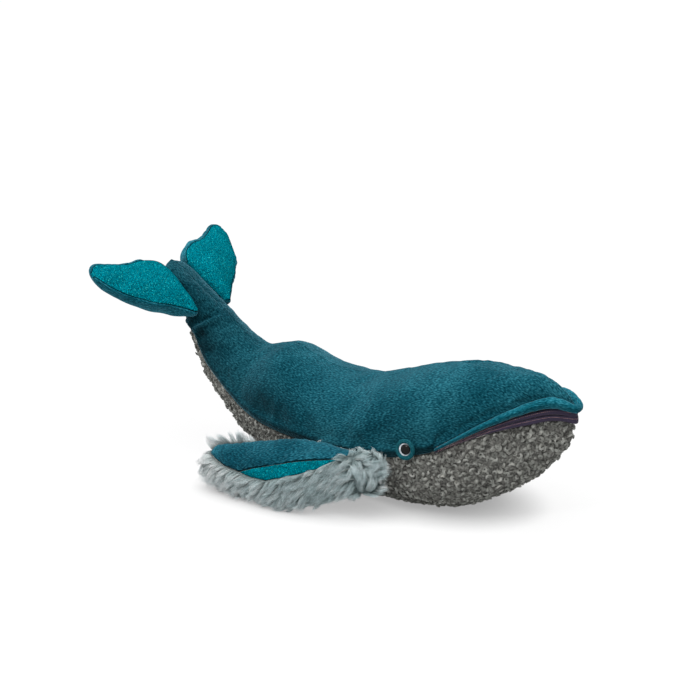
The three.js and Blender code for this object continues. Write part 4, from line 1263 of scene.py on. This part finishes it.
def flipper(side, name):
    limb = flipper_limb(side)
    body = f"flipper_{name}"

    def rows(place):
        reach, near, far, _ = np.moveaxis(smooth_row(FLIPPER, place, 3), -1, 0)
        velour_edge = angle_on_top(np.interp(reach, *np.transpose(VELOUR_EDGE)), near, far)
        glitter_edge = angle_on_top(np.interp(reach, *np.transpose(GLITTER_EDGE)), near, far)
        gap = 2 * SEAM_GAP / ((far - near) * FLIPPER_CHORD)
        return velour_edge, np.minimum(glitter_edge, velour_edge), gap

    def stand(angle):
        return np.clip(angle * 4, -1, 1)

    def top_span(place):
        velour_edge, _, gap = rows(place)
        return np.minimum(velour_edge + gap, PI - gap), PI - gap

    def glitter_span(place):
        velour_edge, fur_edge, gap = rows(place)
        middle = (velour_edge + fur_edge) / 2
        return np.minimum(fur_edge + gap, middle), np.maximum(velour_edge - gap, middle)

    def fur_span(place):
        _, fur_edge, gap = rows(place)
        return -PI + gap, np.minimum(fur_edge, PI - 2 * gap) - gap

    start = limb.place_along(VELOUR_START)
    first, last = (limb.place_along(share) for share in GLITTER_SPAN)
    beside_body = lowered(puckers(60, 8, 0.5, 0.6), 0.5, lambda base, left: 1.5 - left / 6)
    top, *_ = limb_panel(
        f"flipper_velour_{name}", limb, np.linspace(start, 0.999, 150), top_span, 60, VELOUR, stand,
        velour_flipper_shaded, (1.6, 1.8), beside_body, 1.2,
    )
    stripe, *_ = limb_panel(
        f"flipper_glitter_{name}", limb, np.linspace(first, last, 110), glitter_span, 24, VELOUR, stand,
        glitter_shaded, (1.5, 1.5), puckers(64, 8, 0.4, 0.4), 1.2,
    )
    ground, place, angle, outer = limb_panel(
        f"flipper_fur_ground_{name}", limb, np.linspace(0.001, 0.999, 150), fur_span, 90, VELOUR + 0.6, stand,
        fur_ground, (3.4, 1.6), puckers(68, 6, 0.3, 0.6), 1.8,
    )
    fit(top, body, f"flipper_top_panel_{name}")
    fit(stripe, body, f"flipper_glitter_stripe_{name}")
    fit(ground, body, f"flipper_fur_panel_{name}")
    flipper_fur(limb, body, name, place, angle, outer)
    limb_stuffing(limb, "flipper", name, 60)


def flipper_fur(limb, body, name, place, angle, ground):
    """Long soft pile in loose tufts, combed outwards, to the tip, and up over the body at the root."""
    rng = np.random.default_rng(70)
    normal = limb.normal(place, angle)
    _, to_seam = arc(ground)
    tuft_at, tuft_out, tuft_row, tuft_column = spread(ground, normal, TUFT_SPACING, rng)
    tufts = len(tuft_at)
    i = np.clip(np.round(tuft_row).astype(int), 0, len(ground) - 1)
    j = np.clip(np.round(tuft_column).astype(int), 0, ground.shape[1] - 1)
    turn, reach, seam = angle[i, j], place[i, j], to_seam[i, j]
    top = (np.sin(turn) > -0.2)[:, None]
    inner = smooth_step((-np.cos(turn) - 0.3) * 2)[:, None]
    tip = smooth_step((reach - 0.6) / 0.25)[:, None]
    comb = np.where(top, limb.across, limb.across * 0.5 - limb.up * 0.1) + limb.along * 0.45
    hidden = -limb.up * 0.6 - limb.across * 0.2 + limb.along * 0.4
    fringe = -limb.across * 0.9 + limb.up * 0.35 + limb.along * 0.45
    comb = comb * (1 - inner) + inner * (hidden * (1 - tip) + fringe * tip)
    root = smooth_step((0.32 - reach) / 0.22)[:, None]
    comb = comb * (1 - root) + root * (limb.up * 0.7 - limb.across * 0.1 - limb.along * 0.45)
    over = root * smooth_step(1 - seam / 12)[:, None]
    comb = comb * (1 - over) + over * (limb.up * 0.5 - limb.across * 1.0 - limb.along * 0.25)
    comb = comb + smooth_step((reach - 0.75) / 0.2)[:, None] * limb.along * 0.7
    comb = comb + np.stack([waves(tuft_at, 24, 80 + k) for k in range(3)], -1) * (0.2 + 0.22 * root)
    comb = comb + rng.normal(0, 0.16, (tufts, 3))
    comb = unit(comb - (comb * tuft_out).sum(-1, keepdims=True) * tuft_out)
    under = np.clip(-np.sin(turn) * 1.2, 0, 1)
    shown = 1 - 0.45 * inner[:, 0] * (1 - tip[:, 0])
    full = TUFT_LENGTH - TUFTS_UNDER * under * (1 - inner[:, 0] * tip[:, 0])
    length = rng.uniform(0.85, 1.15, tufts) * full * shown
    length = length * (1 + 0.2 * root[:, 0]) + 2.0 * tip[:, 0]
    upright = smooth_step(1 - seam / 7) * (0.7 - 0.5 * over[:, 0]) + 0.1 * root[:, 0]
    bow = rng.uniform(-1, 1, tufts) * 1.5

    count = FUR_STRANDS
    dense = 1 + 1.6 * smooth_step((-np.cos(angle) - 0.3) * 2) * smooth_step((place - 0.5) / 0.2)
    dense = dense + 5.0 * smooth_step((place - 0.9) / 0.06)
    at, out, _, _ = scatter(ground, normal, count, rng, dense)
    tree = kdtree.KDTree(tufts)
    for k, point in enumerate(tuft_at):
        tree.insert(point, k)
    tree.balance()
    nearest = np.array([tree.find(point)[1] for point in at])
    t = np.linspace(0, 1, FUR_STEPS)[None, :, None]

    def strand(start, up, way, long, sway, stand):
        stand = np.clip(stand, 0, 1)[:, None, None]
        swing = np.cross(up, way)[:, None] * (sway[:, None, None] * np.sin(PI * t) * t)
        rise = (0.6 + 0.4 * stand) * t - (0.36 - 0.2 * stand) * t**2
        lay = (0.5 - 0.3 * stand) * t + (0.46 - 0.2 * stand) * t**2
        return start[:, None] + long[:, None, None] * (up[:, None] * rise + way[:, None] * lay) + swing

    heads = strand(tuft_at, tuft_out, comb, length, bow, upright)[:, -1]
    lock = waves(at, 4.0, 130)
    own = length[nearest] * rng.uniform(0.72, 1.08, count) * (1 + 0.14 * lock)
    stray = np.stack([waves(at, 6.0, 120 + k) for k in range(3)], -1)
    way = unit(comb[nearest] + 0.2 * stray + rng.normal(0, 0.09, (count, 3)))
    sway = bow[nearest] + 1.2 * waves(at, 5.0, 131) + rng.normal(0, 0.35, count)
    paths = strand(at, out, way, own, sway, np.clip(upright[nearest] + 0.12 * lock, 0, 1))
    tight = rng.uniform(0.25, 0.5, count)
    pull = (heads[nearest] - paths[:, -1])[:, None] * tight[:, None, None]
    paths = paths + pull * t**1.4
    paths[..., 2] = np.maximum(paths[..., 2], REST_CUT + 0.25)
    radii = FUR_RADIUS * (1 - 0.88 * t[..., 0] ** 1.5) * rng.uniform(0.7, 1.25, count)[:, None]
    axes = unit(np.cross(out, way))
    # Painted light: tufts are lighter towards the flipper's tip and on its underside; the rest of their tone
    # varies at random.
    tuft_tone_and_light = 0.46 + 0.36 * smooth_step(reach * 1.6 - 0.5) + 0.3 * under
    tuft_tone_and_light = tuft_tone_and_light + 0.08 * waves(tuft_at, 18, 99) + rng.normal(0, 0.06, tufts)
    tones = tuft_tone_and_light[nearest] + 0.17 * waves(at, 2.6, 132) + rng.normal(0, 0.1, count)
    order = rng.permutation(count)
    for part, keep in enumerate(np.array_split(order, FUR_PIECES)):
        shape = paths[keep], axes[keep], radii[keep], tones[keep]
        fit(tubes(f"flipper_fur_{name}_{part + 1}", *shape, fur), body)


def fluke(side, name):
    limb = fluke_limb(side)
    body = f"fluke_{name}"
    places = np.linspace(0.001, 0.999, 130)

    def flat(angle):
        return np.zeros(angle.shape)

    def seams(place):
        """Angles of the seam near the front edge and near the rear edge; both lie on the upper face."""
        narrow = smooth_step((place - 0.8) * 5)
        return 0.42 + 0.4 * narrow, PI - 0.28 - 0.4 * narrow

    def top_span(place):
        front, rear = seams(place)
        return front + apart, rear - apart

    def under_span(place):
        front, rear = seams(place)
        return rear - 2 * PI + apart, front - apart

    def by_tail(base, _):
        return 1.6 - (base - limb.origin) @ limb.along / 10

    apart = 0.006
    relief = lowered(puckers(114, 9, 0.35, 0.5), 1.6, by_tail)
    top, *_ = limb_panel(
        f"fluke_glitter_{name}", limb, places, top_span, 70, FLUKE_SKIN, flat, glitter,
        (1.5, 1.5), puckers(110, 9, 0.3, 0.4), 0.7,
    )
    under, *_ = limb_panel(
        f"fluke_velour_{name}", limb, places, under_span, 90, FLUKE_SKIN + 0.8, flat, velour_fluke_lit,
        (2.2, 2.2), relief, 2.4,
    )
    fit(top, body, f"fluke_top_panel_{name}")
    fit(under, body, f"fluke_under_panel_{name}")
    # Painted shade: dark tubes along both seams of the fluke stand for the shade in their grooves.
    inner = np.linspace(0.01, 0.99, 160)
    lines = [limb.layer(inner, angle, np.full(inner.shape, FLUKE_SKIN - 0.7)) for angle in seams(inner)]
    radii, axes = np.full((2, len(inner)), 0.5), np.array([limb.up] * 2)
    fit(tubes(f"fluke_seam_{name}", np.array(lines), axes, radii, np.ones(2), seam_shade, 6), body)
    limb_stuffing(limb, "fluke", name, 50)


for side, name in ((-1, "right"), (1, "left")):
    body_back(side, name)
    eye(side, name)
    flipper(side, name)
    fluke(side, name)
fleece_curls(*body_belly())
body_stuffing()
lip()
lining_fold(0, "upper")
lining_fold(1, "lower")
pinstripes()


# Stage

def floor(lift=0.88, bounce=0.64):
    """White to the camera, with the shadow at a low strength; a plain pale floor to every other ray."""
    mesh = bpy.data.meshes.new("floor")
    reach = 12.0
    corners = [(-reach, -reach, 0), (reach, -reach, 0), (reach, reach, 0), (-reach, reach, 0)]
    mesh.from_pydata(corners, [], [(0, 1, 2, 3)])
    piece = linked("floor", mesh)
    look = Look("floor", 0.9, 0.0)
    seen = look.node("ShaderNodeLightPath").outputs["Is Camera Ray"]
    level = look.node("ShaderNodeMapRange", {"Value": seen, "To Min": bounce, "To Max": 1.0}).outputs[0]
    look.paint(level)
    near = look.node("ShaderNodeAmbientOcclusion", {"Distance": 0.045}, samples=12).outputs["AO"]
    shades = {"Value": near, "From Min": 0.1, "From Max": 0.85, "To Min": 0.4}
    contact = look.node("ShaderNodeMapRange", shades)
    white = look.node("ShaderNodeEmission", {"Color": (1, 1, 1, 1), "Strength": contact.outputs[0]})
    mixed = look.node("ShaderNodeMixShader", {0: look.math("MULTIPLY", seen, lift)})
    look.join(look.shader.outputs[0], mixed.inputs[1])
    look.join(white.outputs[0], mixed.inputs[2])
    look.join(mixed.outputs[0], look.tree.nodes["Material Output"].inputs["Surface"])
    mesh.materials.append(look.material)


def sky(light=0.45):
    world = bpy.data.worlds.new("sky")
    bpy.context.scene.world = world
    world.use_nodes = True
    nodes = Nodes(world.node_tree)
    rays = nodes.node("ShaderNodeLightPath").outputs
    mirrored = nodes.math("MAXIMUM", rays["Is Glossy Ray"], rays["Is Transmission Ray"])
    seen = nodes.math("MAXIMUM", rays["Is Camera Ray"], mirrored)
    level = nodes.node("ShaderNodeMapRange", {"Value": seen, "To Min": light, "To Max": 1.0})
    ground = nodes.tree.nodes["Background"]
    ground.inputs["Color"].default_value = (1, 1, 1, 1)
    nodes.join(level.outputs[0], ground.inputs["Strength"])


def aimed(name, data, place, direction):
    made = linked(name, data)
    made.location = place
    made.rotation_mode = "QUATERNION"
    made.rotation_quaternion = direction.to_track_quat("-Z", "Y")
    return made


def lamp(name, kind, place, target, size, power):
    data = bpy.data.lights.new(name, kind)
    data.energy = power
    if kind == "SUN":
        data.angle = size
    else:
        data.size = size
    aimed(name, data, place, Vector(target) - Vector(place))


def camera():
    azimuth, elevation, distance = math.radians(34), math.radians(17), 1.8
    target = Vector((-0.0034, 0, 0.131))
    back = Vector((
        math.sin(azimuth) * math.cos(elevation), -math.cos(azimuth) * math.cos(elevation), math.sin(elevation)
    ))
    data = bpy.data.cameras.new("camera")
    data.lens, data.sensor_width = 92.57, 36.0
    bpy.context.scene.camera = aimed("camera", data, target + back * distance, -back)


floor()
sky()
lamp("soft_light", "SUN", (-0.1, -0.2, 2.0), (0, 0, 0), math.radians(60), 2.3)
lamp("catch_light", "AREA", (-0.1, -1.45, 1.55), (0.05, -0.05, 0.06), 0.36, 11.0)
camera()
bpy.context.scene.view_settings.view_transform = "Standard"
